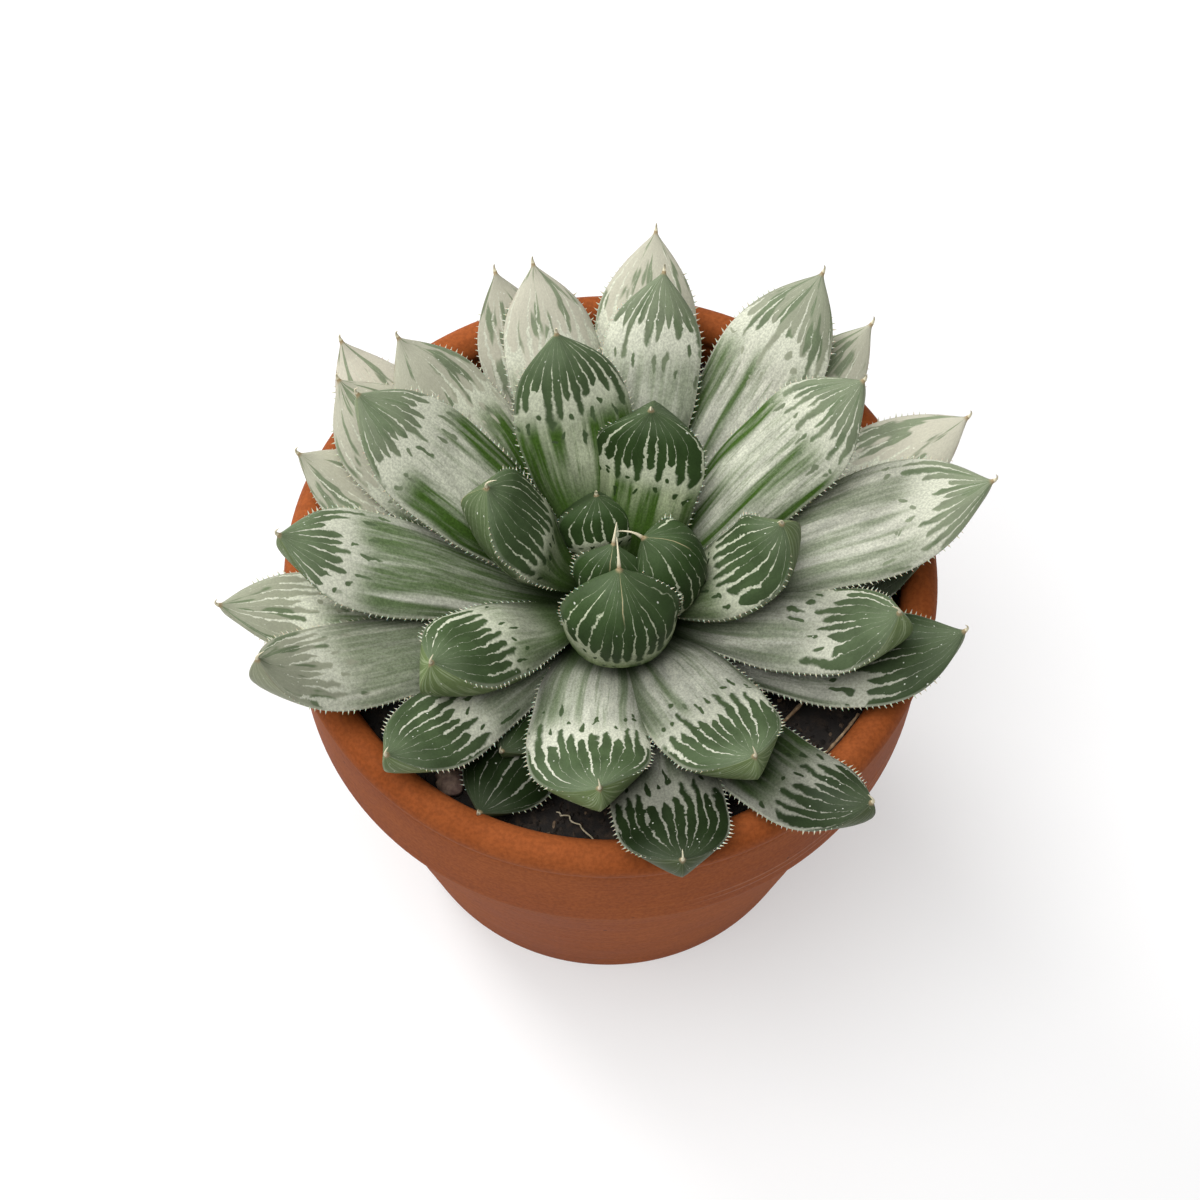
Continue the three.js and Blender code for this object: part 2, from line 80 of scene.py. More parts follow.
# Rosette frame, in millimetres, as in the part's source
ROSETTE_AXIS = (0.5, -4.0)
LOWEST_SEAT = (10.2, 74.0)
TIER_STEP = (-1.24, 1.6)
TIER_THICKNESS = (4.6, 0.6)
WIDEST_AT = 0.66
SEAT_WIDTH_SHARE = 0.34
NECK_POWER = 1.15
THICKEST_AT = 0.7
SEAT_DEPTH_SHARE = 0.35
SEAT_HOLLOW = 0.05
SWELLING = 0.45
SHOULDER_POWER = 0.7
CROWN_TAPER = 2.2
BELLY_TAPER = 6
HEART_KEEL = 0.3
FLICK_START = 0.55

# A leaf's mesh: its rings along the blade and the bristle, and the points over and under each.
# The bristle counts as an added share of the leaf's length. Teeth stand between some of the rings,
# on the two points of a ring that are its margins.
BLADE_RINGS = 92
AWN_RINGS = 9
RINGS = BLADE_RINGS + AWN_RINGS
UPPER = 26
LOWER = 18
COLUMNS = UPPER + LOWER
AWN_SHARE = 0.12
TOOTHED_RINGS = range(12, BLADE_RINGS - 3)
MARGINS = (0, UPPER)

# name: tier, turn, rise, bend, flick, swing, roll, length, width, thick (0 for the tier's), awn
LEAVES = {
    "heart_leaf_1": (5, 275, 40, 80, 0, 0, 0, 26.5, 19, 8.5, 5),
    "heart_leaf_2": (5, 345, 45, 85, 0, 0, 0, 23, 14.5, 7, 4),
    "heart_leaf_3": (5, 104, 48, 8, 0, 0, 0, 14, 13.5, 7, 2),
    "heart_leaf_4": (5, 262, 60, 60, 0, 0, 0, 18, 12, 4, 3.5),
    "upper_leaf_1": (4, 163, 52, 0, 20, 0, 10, 27.5, 17, 0, 3),
    "upper_leaf_2": (4, 107, 42, 6, 5, 0, 0, 39, 19, 0, 2),
    "upper_leaf_3": (4, 68, 50, 10, 15, 30, -10, 28.5, 18.5, 0, 2),
    "upper_leaf_4": (4, 350, 32, 18, 25, 55, 0, 31, 15.5, 0, 2),
    "upper_leaf_5": (3, 214, 28, 0, 30, 15, 0, 35, 15.5, 8, 2),
    "middle_leaf_1": (3, 152, 31, 0, 15, 0, 0, 47.5, 19, 0, 2),
    "middle_leaf_2": (3, 32, 33, 0, 10, 0, 0, 48, 18.5, 0, 2),
    "middle_leaf_3": (2, 181, 23, 0, 25, 0, 0, 50.5, 18, 0, 2),
    "middle_leaf_4": (2, 225, 12, 2, 42, 0, 0, 45, 14.5, 5.5, 2),
    "middle_leaf_5": (2, 260, 18, 4, 40, 30, 0, 38.5, 19.5, 0, 2),
    "middle_leaf_6": (2, 301, 20, 4, 40, 0, 0, 40, 19, 0, 2),
    "middle_leaf_7": (2, 341, 20, 4, 55, 10, 0, 46, 16, 0, 2),
    "middle_leaf_8": (2, 9, 25, -6, 15, 0, 0, 57.5, 19.5, 0, 2),
    "middle_leaf_9": (2, 81, 28, 0, 5, 0, 0, 46.5, 16.5, 0, 2),
    "middle_leaf_10": (1, 202.5, 17, 0, 60, 0, 0, 58, 16, 0, 2),
    "middle_leaf_11": (1, 56, 22, 0, 10, 0, 0, 55, 18.5, 0, 2),
    "middle_leaf_12": (1, 105, 25, 0, 10, 0, 0, 48.5, 16, 0, 2),
    "middle_leaf_13": (1, 134, 26, 0, 15, 0, 0, 47, 17, 0, 2),
    "outer_leaf_1": (1, 149, 17, 0, 25, -15, 0, 49, 19, 0, 2),
    "outer_leaf_2": (1, 239, 5, 6, 25, 0, 0, 25.5, 12, 3.5, 2),
    "outer_leaf_3": (0, 158, 10, 6, 25, 0, 0, 47, 15, 0, 2),
    "outer_leaf_4": (0, 188, 16, -4, 25, 0, 0, 55.3, 15.5, 0, 2),
    "outer_leaf_5": (0, 242, 4, 2, 25, 0, 0, 34.5, 15, 0, 2),
    "outer_leaf_6": (0, 283.5, 17, -2, 52, -8, 0, 49, 18, 0, 2),
    "outer_leaf_7": (0, 305, 15.5, 0, 50, 30, 0, 55, 15, 0, 2),
    "outer_leaf_8": (0, 337, 16, 0, 30, 40, 0, 51, 16.5, 0, 2),
    "outer_leaf_9": (0, 5, 12, 0, 25, 0, 0, 41, 14, 0, 2),
    "outer_leaf_10": (0, 25, 15, 2, 15, 0, 0, 55, 17, 0, 2),
    "outer_leaf_11": (0, 47, 15, 0, 15, 0, 0, 53, 14, 0, 2),
    "outer_leaf_12": (0, 84, 18, 0, 10, 0, 0, 53.5, 16.5, 0, 2),
    "outer_leaf_13": (0, 110, 13, 2, 15, 0, 0, 50, 14, 0, 2),
    "outer_leaf_14": (0, 143, 11, 4, 25, -20, 0, 53, 16, 0, 2),
}
HEART_SEATS = {
    "heart_leaf_1": (4.0, 79.5),
    "heart_leaf_2": (3.5, 79.5),
    "heart_leaf_3": (3.5, 79.5),
    "heart_leaf_4": (1.0, 81.0),
}
# Leaves that are broad close to the seat have a lower neck power
WIDE_NECKS = {"upper_leaf_3": 0.6, "middle_leaf_1": 0.8, "middle_leaf_5": 0.55, "middle_leaf_6": 0.55}

# How each leaf is marked. window: where the dark end starts, as a share of the length. dark: how
# dark it is. blanch: how far the end is bleached to cream. streak: how much green runs through
# the pale field. warm: how yellow-green the field is. ridge: strength of the tan line at the end.
RING_LOOKS = {
    "heart": (0.42, 1.0, 0.0, 0.7, 0.8, 0.9),
    "upper": (0.58, 0.9, 0.0, 0.7, 0.6, 0.2),
    "middle": (0.68, 0.6, 0.0, 0.6, 0.0, 0.0),
    "outer": (0.68, 0.5, 0.1, 0.5, 0.0, 0.0),
}
LEAF_LOOKS = {
    "heart_leaf_1": (0.59, 0.95, 0.0, 0.9, 0.9, 1.0),
    "upper_leaf_1": (0.48, 0.85, 0.0, 0.7, 0.6, 0.8),
    "upper_leaf_2": (0.71, 0.8, 0.0, 0.9, 0.5, 0.0),
    "upper_leaf_3": (0.61, 1.0, 0.0, 1.0, 0.75, 0.1),
    "upper_leaf_4": (0.54, 0.85, 0.0, 0.6, 0.5, 1.0),
    "upper_leaf_5": (0.58, 0.85, 0.0, 0.6, 0.3, 0.3),
    "middle_leaf_1": (0.74, 0.45, 0.1, 0.95, 0.1, 0.1),
    "middle_leaf_2": (0.78, 0.45, 0.1, 0.95, 0.1, 0.0),
    "middle_leaf_3": (0.76, 0.55, 0.0, 0.75, 0.0, 0.0),
    "middle_leaf_4": (0.58, 0.8, 0.0, 0.5, 0.0, 0.0),
    "middle_leaf_5": (0.6, 0.8, 0.0, 0.6, 0.0, 0.2),
    "middle_leaf_6": (0.6, 0.75, 0.0, 0.6, 0.0, 0.0),
    "middle_leaf_7": (0.64, 0.65, 0.0, 0.5, 0.0, 0.0),
    "middle_leaf_8": (0.8, 0.35, 0.15, 0.5, 0.0, 0.0),
    "middle_leaf_9": (0.75, 0.55, 0.1, 0.4, 0.0, 0.0),
    "middle_leaf_10": (0.74, 0.5, 0.4, 0.55, 0.0, 0.0),
    "middle_leaf_11": (0.74, 0.45, 0.35, 0.8, 0.0, 0.0),
    "middle_leaf_12": (0.7, 0.3, 0.85, 0.5, 0.0, 0.0),
    "middle_leaf_13": (0.66, 0.4, 0.65, 1.0, 0.1, 0.0),
    "outer_leaf_1": (0.62, 0.35, 0.75, 0.7, 0.0, 0.0),
    "outer_leaf_2": (0.51, 1.0, 0.0, 0.6, 0.0, 0.0),
    "outer_leaf_3": (0.62, 0.3, 0.7, 0.5, 0.0, 0.0),
    "outer_leaf_4": (0.72, 0.6, 0.4, 0.8, 0.0, 0.0),
    "outer_leaf_5": (0.46, 1.0, 0.0, 0.6, 0.0, 0.2),
    "outer_leaf_6": (0.6, 0.95, 0.0, 0.6, 0.0, 0.3),
    "outer_leaf_7": (0.71, 0.85, 0.0, 0.8, 0.0, 0.0),
    "outer_leaf_8": (0.64, 0.8, 0.0, 0.6, 0.0, 0.0),
    "outer_leaf_10": (0.64, 0.3, 0.85, 0.5, 0.0, 0.0),
    "outer_leaf_11": (0.62, 0.3, 0.7, 0.5, 0.0, 0.0),
    "outer_leaf_12": (0.66, 0.3, 0.8, 0.4, 0.0, 0.0),
    "outer_leaf_13": (0.62, 0.4, 0.8, 0.8, 0.0, 0.0),
    "outer_leaf_14": (0.58, 0.3, 1.0, 0.4, 0.0, 0.0),
}

# How much darker (below 1) or lighter (above 1) than its look a leaf is drawn. Below 1 it is mostly
# painted shade, on the leaves near the pot that lie in the shade of others, and partly a darker tissue
LEAF_TONES_AND_SHADE = {
    "middle_leaf_4": 0.85,
    "middle_leaf_7": 0.88,
    "middle_leaf_10": 0.86,
    "outer_leaf_2": 0.55,
    "outer_leaf_4": 1.1,
    "outer_leaf_5": 0.38,
    "outer_leaf_6": 0.41,
    "outer_leaf_7": 0.44,
    "outer_leaf_8": 0.7,
    "outer_leaf_9": 0.4,
    "outer_leaf_13": 0.8,
}

# Bed of mix, in millimetres: its gap to the pot, how deep its lumpy top reaches, and the radius
# and height of its side where it follows the pot's inside down to the floor
BED_GAP = 0.1
BED_TOP_DEPTH = 4
BED_SIDE = ((45.2, 54.5), (30.2, 9.0))
BED_FOOT_RADIUS = 28.0
BED_SIDES = 150
BED_RINGS = 56

# Litter on the mix, in millimetres: start, middle and end of each line, and a twig's radius.
# The withered leaf has its half length, width and height.
TWIGS = {
    "dry_twig_1": ((39, -11.5, 76.5), (33.05, -18.25, 75.15), (25.5, -26, 73), 0.34),
    "dry_twig_2": ((39.5, -23.5, 76.5), (37.05, -26.5, 75.15), (33, -30.5, 73), 0.3),
}
TWIG_STEPS = 22
TWIG_KNOTS = (6, 15)
FIBRE = ((-8.2, -40.0, 73.3), (-5.6, -41.6, 74.1), (-2.2, -44.6, 73.1))
FIBRE_STEPS = 26
WITHERED_TURN = math.radians(105)
WITHERED_HALF_SIZE = (3.8, 2.45, 1.45)

# Stage, in metres: place, width and share of the key power of each lamp, then the points that
# the lamps and the camera look at
LAMPS = {
    "key_light": ((-0.27, -0.22, 1.2), 0.95, 1.0),
    "fill_light": ((0.0, 0.05, 1.3), 1.2, 0.2),
    "rim_light": ((-0.6, 0.68, 0.58), 0.5, 0.65),
}
LAMP_AIM = Vector((0.0, 0.0, 0.08))
CAMERA_AIM = Vector((-0.00168, -0.00555, 0.08))
SENSOR_WIDTH = 36.0


def colour(name, about, value):
    return FloatVectorProperty(
        name=name, description=about, subtype="COLOR", size=3, min=0, max=1, default=value
    )


def length(name, about, value):
    return FloatProperty(name=name, description=about, unit="LENGTH", subtype="DISTANCE", default=value)


class ClayPotSettings(bpy.types.PropertyGroup):
    rim_radius: length("Rim radius", "Outer radius of the rounded lip", POT_HIGH.x)
    height: length("Height", "Height of the pot", POT_HIGH.z)
    collar_foot: length("Collar foot", "Height of the step under the collar", 0.0545)
    collar_foot_radius: length("Collar foot radius", "Outer radius just above the step", 0.0504)
    body_top_radius: length("Body top radius", "Outer radius just under the step", 0.048)
    base_radius: length("Base radius", "Outer radius at the foot", 0.0348)
    lip_width: length("Lip width", "Width of the lip, seen from above", 0.006)
    wall: length("Wall", "Wall thickness", 0.0046)
    floor: length("Floor", "Thickness of the floor", 0.006)
    drain_radius: length("Drain radius", "Radius of the drain hole", 0.0055)
    ridge_height: length("Turning ridges", "Height of the fine turning ridges", 0.00009)
    lip_height: length("Lip height", "Height of the lip's side", 0.0055)
    lip_round: length("Lip rounding", "Radius of the rounded top of the lip", 0.003)
    # Heights of the two pale lines of painted sheen on the collar
    sheen_line_low: length("Lower line", "Height of the lower pale turning line", 0.0585)
    sheen_line_high: length("Upper line", "Height of the upper pale turning line", 0.0605)
    clay: colour("Clay", "Fired clay", (0.265, 0.062, 0.013))
    pale_clay: colour("Pale clay", "Dusty high spots of the clay", (0.335, 0.093, 0.026))


class PottingMixSettings(bpy.types.PropertyGroup):
    level: length("Level", "Height of the mix at its middle", 0.072)
    crumb: length("Crumb", "Mean size of the loose crumbs", 0.0009)
    density: FloatProperty(
        name="Crumbs", description="Loose crumbs for each square metre", min=0, default=620000
    )
    dark: colour("Dark", "Moist mix", (0.012, 0.009, 0.007))
    light: colour("Light", "Dry bark flecks", (0.12, 0.075, 0.045))


class RosetteSettings(bpy.types.PropertyGroup):
    tooth_spacing: length("Tooth spacing", "Distance between the teeth of a margin", 0.00098)
    tooth_length: length("Tooth length", "Length of a marginal tooth", 0.00068)
    tooth_width: length("Tooth width", "Width of a tooth at its foot", 0.00027)
    awn_radius: length("Awn radius", "Radius of the bristle at its foot", 0.00033)
    vein_pitch: length("Vein pitch", "Distance between two veins of the window", 0.00175)
    field: colour("Field", "Pale tissue of the lower leaf", (0.5, 0.507, 0.42))
    warm_field: colour("Warm field", "Pale tissue of the young leaves", (0.33, 0.4, 0.2))
    window: colour("Window", "Dark window tissue", (0.031, 0.058, 0.017))
    light_window: colour("Light window", "Window tissue of the paler leaves", (0.19, 0.24, 0.14))
    vein: colour("Vein", "Cream veins in the window", (0.55, 0.56, 0.45))
    streak: colour("Streak", "Green streaks in the field", (0.048, 0.1, 0.015))
    bleached: colour("Bleached", "Bleached ends of the old leaves", (0.54, 0.51, 0.415))
    underside: colour("Underside", "Lower face of the leaf", (0.14, 0.19, 0.075))
    bristle: colour("Bristle", "Awns and teeth", (0.7, 0.64, 0.46))


class LitterSettings(bpy.types.PropertyGroup):
    twig: colour("Twig", "Dry flower stalk", (0.2, 0.12, 0.06))
    withered: colour("Withered leaf", "Dried leaf", (0.13, 0.075, 0.06))
    fibre_radius: length("Fibre radius", "Radius of the loose fibre", 0.00013)


class StageSettings(bpy.types.PropertyGroup):
    distance: length("Distance", "Camera distance", 0.765)
    lens: FloatProperty(name="Lens", description="Focal length in millimetres", min=1, default=143.8)
    elevation: FloatProperty(
        name="Elevation", description="Camera elevation", subtype="ANGLE", default=math.radians(62.42)
    )
    roll: FloatProperty(
        name="Roll", description="Camera roll", subtype="ANGLE", default=math.radians(0.589)
    )
    floor_size: length("Floor size", "Side of the floor", 6.0)
    floor_glow: FloatProperty(name="Floor glow", description="Light of the floor itself", default=0.5)
    key_power: FloatProperty(name="Key power", description="Power of the main light", default=12.2)
    sky: FloatProperty(name="Sky", description="Strength of the even light all round", default=0.18)
    seed: IntProperty(name="Seed", description="Seed of everything drawn at random", default=7)


class Sheet:
    """Adds nodes to one tree. A value is a number, a colour, a vector or another node's socket."""

    def __init__(self, tree):
        self.tree = tree

    def add(self, kind, values=(), **settings):
        node = self.tree.nodes.new(kind)
        for key, value in settings.items():
            setattr(node, key, value)
        return self.set(node, values)

    def set(self, node, values):
        for key, value in dict(values).items():
            self.feed(node.inputs[key], value)
        return node

    def feed(self, socket, value):
        if isinstance(value, bpy.types.NodeSocket):
            self.tree.links.new(value, socket)
        elif socket.type == "RGBA" and len(value) == 3:
            socket.default_value = (*value, 1.0)
        else:
            socket.default_value = value

    def math(self, operation, *values, clamp=False):
        node = self.add("ShaderNodeMath", enumerate(values), operation=operation, use_clamp=clamp)
        return node.outputs[0]

    def times(self, first, *others):
        for other in others:
            first = self.math("MULTIPLY", first, other)
        return first

    def vector(self, x=0.0, y=0.0, z=0.0):
        return self.add("ShaderNodeCombineXYZ", {"X": x, "Y": y, "Z": z}).outputs[0]

    def split(self, socket):
        return self.add("ShaderNodeSeparateXYZ", {0: socket}).outputs

    def fade(self, value, low, high, start=0.0, end=1.0):
        """Smooth change from start to end while value goes from low to high."""
        values = enumerate((value, low, high, start, end))
        return self.add("ShaderNodeMapRange", values, interpolation_type="SMOOTHSTEP").outputs[0]

    def blend(self, factor, first, second):
        values = {0: factor, 6: first, 7: second}
        return self.add("ShaderNodeMix", values, data_type="RGBA", clamp_factor=True).outputs[2]

    def scale(self, tint, factor):
        """A colour or a vector times a factor."""
        values = {0: tint, "Scale": factor}
        return self.add("ShaderNodeVectorMath", values, operation="SCALE").outputs[0]

    def place(self):
        """Where a point lies on the finished piece, in metres."""
        return self.add("ShaderNodeTexCoord").outputs["Object"]

    def noise(self, place, scale=1.0, detail=2.0, rough=0.5):
        values = {"Vector": place, "Scale": scale, "Detail": detail, "Roughness": rough}
        return self.add("ShaderNodeTexNoise", values).outputs["Fac"]

    def drawn(self, place):
        """Three random shares, the same wherever place is the same."""
        node = self.add("ShaderNodeTexWhiteNoise", {"Vector": place})
        return self.split(node.outputs["Color"])

    def attribute(self, name):
        return self.add("ShaderNodeAttribute", attribute_name=name).outputs["Vector"]

    def bump(self, height, strength, distance):
        values = {"Height": height, "Strength": strength, "Distance": distance}
        return self.add("ShaderNodeBump", values).outputs[0]

    def cells(self, place, scale):
        """Scattered cells, as (distance from the middle of the cell, its random share)."""
        node = self.add("ShaderNodeTexVoronoi", {"Vector": place, "Scale": scale}, feature="F1")
        return node.outputs["Distance"], self.split(node.outputs["Color"])[0]

    def stored(self, name, kind):
        """A value that a geometry tree reads from the mesh."""
        node = self.add("GeometryNodeInputNamedAttribute", {"Name": name}, data_type=kind)
        return node.outputs["Attribute"]

    def store(self, instances, name, kind, value):
        values = {"Geometry": instances, "Name": name, "Value": value}
        node = self.add("GeometryNodeStoreNamedAttribute", data_type=kind, domain="INSTANCE")
        return self.set(node, values).outputs[0]

    def luck(self, low, high, seed=0):
        """A random number, or a random vector, between low and high."""
        if isinstance(low, tuple):
            values = {0: low, 1: high, "Seed": seed}
            return self.add("FunctionNodeRandomValue", values, data_type="FLOAT_VECTOR").outputs[0]
        values = {2: low, 3: high, "Seed": seed}
        return self.add("FunctionNodeRandomValue", values, data_type="FLOAT").outputs[1]

    def finish(self, geometry, result, **dress):
        """Ends a geometry tree: real meshes, dressed in their material."""
        real = self.add("GeometryNodeRealizeInstances", {"Geometry": geometry}).outputs[0]
        dressed = self.add("GeometryNodeSetMaterial", {"Geometry": real, **dress})
        self.feed(result.inputs[0], dressed.outputs[0])


def new_material(name):
    """A material with a bare principled shader, as (material, sheet, shader)."""
    made = bpy.data.materials.new(name)
    made.use_nodes = True
    shader = made.node_tree.nodes["Principled BSDF"]
    return made, Sheet(made.node_tree), shader


def mesh_object(name, vertices, faces, material):
    """A new smooth-shaded object from points in millimetres."""
    mesh = bpy.data.meshes.new(name)
    mesh.from_pydata((np.asarray(vertices) * MM).tolist(), [], faces)
    mesh.update()
    mesh.shade_smooth()
    mesh.materials.append(material)
    made = bpy.data.objects.new(name, mesh)
    bpy.context.scene.collection.objects.link(made)
    return made


def face_outwards(piece, merge=0.0):
    """Turns every face outwards, after joining points closer than merge where that is given."""
    work = bmesh.new()
    work.from_mesh(piece.data)
    if merge:
        bmesh.ops.remove_doubles(work, verts=work.verts, dist=merge)
    bmesh.ops.recalc_face_normals(work, faces=work.faces)
    work.to_mesh(piece.data)
    work.free()


def grown_mesh(source, tree, values):
    """A plain mesh of what the node tree makes of an object."""
    modifier = source.modifiers.new(tree.name, "NODES")
    modifier.node_group = tree
    for item in tree.interface.items_tree:
        if item.in_out == "INPUT" and item.name in values:
            modifier[item.identifier] = values[item.name]
    graph = bpy.context.evaluated_depsgraph_get()
    grown = bpy.data.meshes.new_from_object(source.evaluated_get(graph), depsgraph=graph)
    source.modifiers.remove(modifier)
    return grown


def grow_with(piece, tree, values):
    """Turns the piece's mesh into what the node tree makes of it."""
    old = piece.data
    piece.data = grown_mesh(piece, tree, values)
    bpy.data.meshes.remove(old)
    piece.data.name = piece.name


def new_tree(name, **inputs):
    """A geometry tree, as (tree, sheet, input node's sockets, output node). Its inputs are its
    geometry, the named ones, in which _ stands for a space, and its material."""
    tree = bpy.data.node_groups.new(name, "GeometryNodeTree")
    for title, kind in {"Geometry": "Geometry", **inputs, "Material": "Material"}.items():
        title = title.replace("_", " ")
        tree.interface.new_socket(title, in_out="INPUT", socket_type="NodeSocket" + kind)
    tree.interface.new_socket("Geometry", in_out="OUTPUT", socket_type="NodeSocketGeometry")
    sheet = Sheet(tree)
    given = sheet.add("NodeGroupInput").outputs
    result = sheet.add("NodeGroupOutput")
    return tree, sheet, given, result


def keep(piece, node):
    """Sets a finished piece on the frame: it rides on the one body and stands for its node."""
    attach(piece, "root")
    if node:
        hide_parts(node)


def turned_clay_tree():
    """Turns a profile round the pot's axis, a little out of round and with turning ridges."""
    tree, sheet, given, result = new_tree(
        "turned_clay", Sides="Int", Rows="Int", Ridge_height="Float", Out_of_round="Float"
    )
    m, times = sheet.math, sheet.times
    sizes = {"Size X": 1.0, "Size Y": 1.0, "Vertices X": given["Sides"], "Vertices Y": given["Rows"]}
    grid = sheet.add("GeometryNodeMeshGrid", sizes)
    across, along, _ = sheet.split(sheet.add("GeometryNodeInputPosition").outputs[0])
    angle = times(m("ADD", across, 0.5), math.tau)
    sample = sheet.add("GeometryNodeSampleCurve", {"Curves": given["Geometry"]}, mode="FACTOR")
    sheet.feed(sample.inputs["Factor"], m("ADD", along, 0.5, clamp=True))
    radius, _, height = sheet.split(sample.outputs["Position"])
    level = sheet.vector(z=times(height, 1.0 / MM))
    fine = m("SUBTRACT", sheet.noise(level, 1.1, 1.0), 0.5)
    broad = m("SUBTRACT", sheet.noise(level, 0.23, 0.0), 0.5)
    lobes = m("SINE", m("MULTIPLY_ADD", angle, 2.0, 0.8))
    reach = times(radius, m("MULTIPLY_ADD", lobes, given["Out of round"], 1.0))
    reach = m("MULTIPLY_ADD", m("ADD", fine, broad), given["Ridge height"], reach)
    spot = sheet.vector(times(reach, m("COSINE", angle)), times(reach, m("SINE", angle)), height)
    moved = sheet.add("GeometryNodeSetPosition", {"Geometry": grid.outputs["Mesh"], "Position": spot})
    closed = sheet.add("GeometryNodeMergeByDistance", {"Geometry": moved.outputs[0], "Distance": 2e-6})
    sheet.finish(closed.outputs[0], result, Material=given["Material"])
    return tree


def margin_teeth_tree():
    """Sets small cones along the edges marked as margin, leaning towards the apex."""
    tree, sheet, given, result = new_tree(
        "margin_teeth", Spacing="Float", Length="Float", Width="Float", Seed="Int"
    )
    edges = {"Mesh": given["Geometry"], "Selection": sheet.stored("margin", "BOOLEAN")}
    outline = sheet.add("GeometryNodeMeshToCurve", edges).outputs[0]
    spacing = {"Curve": outline, "Length": given["Spacing"]}
    steps = sheet.add("GeometryNodeResampleCurve", spacing, mode="LENGTH").outputs[0]
    foot = sheet.times(given["Width"], 0.5)
    sizes = {"Vertices": 5, "Radius Top": 0.0, "Radius Bottom": foot, "Depth": given["Length"]}
    cone = sheet.add("GeometryNodeMeshCone", sizes).outputs["Mesh"]
    way = {"Vector": sheet.stored("tooth_way", "FLOAT_VECTOR")}
    turn = sheet.add("FunctionNodeAlignRotationToVector", way, axis="Z").outputs[0]
    size = sheet.times(sheet.luck(0.5, 1.3, given["Seed"]), sheet.stored("tooth_size", "FLOAT"))
    places = {"Points": steps, "Instance": cone, "Rotation": turn, "Scale": size}
    teeth = sheet.add("GeometryNodeInstanceOnPoints", places).outputs[0]
    joined = sheet.add("GeometryNodeJoinGeometry")
    sheet.feed(joined.inputs[0], sheet.store(teeth, "tooth", "BOOLEAN", True))
    sheet.feed(joined.inputs[0], given["Geometry"])
    tooth = sheet.stored("tooth", "BOOLEAN")
    sheet.finish(joined.outputs[0], result, Selection=tooth, Material=given["Material"])
    return tree


def loose_crumbs_tree():
    """Scatters rough little crumbs over the faces marked as top."""
    tree, sheet, given, result = new_tree("loose_crumbs", Density="Float", Size="Float", Seed="Int")
    seed = given["Seed"]
    spread = {"Mesh": given["Geometry"], "Selection": sheet.stored("top", "BOOLEAN"), "Seed": seed}
    points = sheet.add("GeometryNodeDistributePointsOnFaces", {**spread, "Density": given["Density"]})
    ball = sheet.add("GeometryNodeMeshIcoSphere", {"Radius": 0.5, "Subdivisions": 1}).outputs[0]
    rough = sheet.luck((-0.16, -0.16, -0.16), (0.16, 0.16, 0.16))
    crumb = sheet.add("GeometryNodeSetPosition", {"Geometry": ball, "Offset": rough}).outputs[0]
    turn = sheet.luck((0.0, 0.0, 0.0), (math.tau, math.tau, math.tau), seed)
    size = sheet.scale(sheet.luck((0.35, 0.35, 0.3), (1.7, 1.3, 0.95), seed), given["Size"])
    places = {"Points": points.outputs[0], "Instance": crumb, "Rotation": turn, "Scale": size}
    crumbs = sheet.add("GeometryNodeInstanceOnPoints", places).outputs[0]
    toned = sheet.store(crumbs, "crumb_tone", "FLOAT", sheet.luck(0.0, 1.0, seed))
    sheet.finish(toned, result, Material=given["Material"])
    return tree


def clay_material(pot):
    """Fired clay with dusty clouds, turning lines and pits, and two pale lines of painted sheen on the
    collar.
    """
    made, sheet, shader = new_material("fired_clay")
    m, fade, times = sheet.math, sheet.fade, sheet.times
    place = sheet.place()
    x, y, z = sheet.split(place)
    angle = m("ARCTAN2", y, x)
    cloud = sheet.noise(place, 28.0, 4.0, 0.6)
    speckle = sheet.noise(place, 1500.0, 2.0, 0.6)
    lines = sheet.noise(sheet.vector(times(angle, 0.6), 0.0, times(z, 900.0)), 1.0, 3.0, 0.55)
    dust = m("ADD", times(cloud, 0.75), times(lines, 0.3))
    tint = sheet.blend(fade(dust, 0.38, 0.72), pot.clay, pot.pale_clay)
    off_middle, chance = sheet.cells(place, 240.0)
    pit = times(fade(off_middle, 0.05, 0.11, 1.0, 0.0), fade(chance, 0.8, 0.82))
    tint = sheet.blend(times(pit, 0.75), tint, (0.09, 0.035, 0.02))
    # Two pale lines of painted sheen run round the right side of the collar
    side = fade(m("ABSOLUTE", m("ADD", angle, 0.75)), 0.35, 0.6, 0.3, 0.0)
    for level in (pot.sheen_line_low, pot.sheen_line_high):
        off_sheen_line = m("ABSOLUTE", m("SUBTRACT", z, level))
        near = fade(off_sheen_line, 0.0001, 0.00035, 1.0, 0.0)
        tint = sheet.blend(times(near, side), tint, (0.55, 0.3, 0.2))
    height = m("SUBTRACT", m("ADD", times(speckle, 0.35), times(lines, 0.45)), times(pit, 1.5))
    looks = {
        "Base Color": sheet.scale(tint, fade(speckle, 0.3, 0.7, 0.84, 1.1)),
        "Roughness": fade(cloud, 0.3, 0.7, 0.66, 0.84),
        "Specular IOR Level": 0.1,
        "Normal": sheet.bump(height, 0.35, 0.00015),
    }
    sheet.set(shader, looks)
    return made


def mix_material(soil, crumbs):
    """Potting mix: the bed itself, or its loose crumbs, which carry their own tone."""
    made, sheet, shader = new_material("crumbs" if crumbs else "potting_mix")
    place = sheet.place()
    clods = sheet.noise(place, 420.0, 4.0, 0.7)
    if crumbs:
        tone = sheet.split(sheet.attribute("crumb_tone"))[0]
        fleck = sheet.times(sheet.fade(tone, 0.86, 1.0), sheet.fade(clods, 0.2, 0.8))
        base = sheet.blend(sheet.fade(tone, 0.0, 0.9, 0.0, 0.22), soil.dark, soil.light)
        tint = sheet.blend(fleck, base, (0.3, 0.2, 0.12))
    else:
        tint = sheet.blend(sheet.fade(clods, 0.45, 0.8, 0.0, 0.5), soil.dark, soil.light)
    grains = sheet.bump(sheet.noise(place, 1800.0, 3.0, 0.6), 0.6, 0.0002)
    sheet.set(shader, {"Base Color": tint, "Roughness": 0.85, "Normal": grains})
    return made


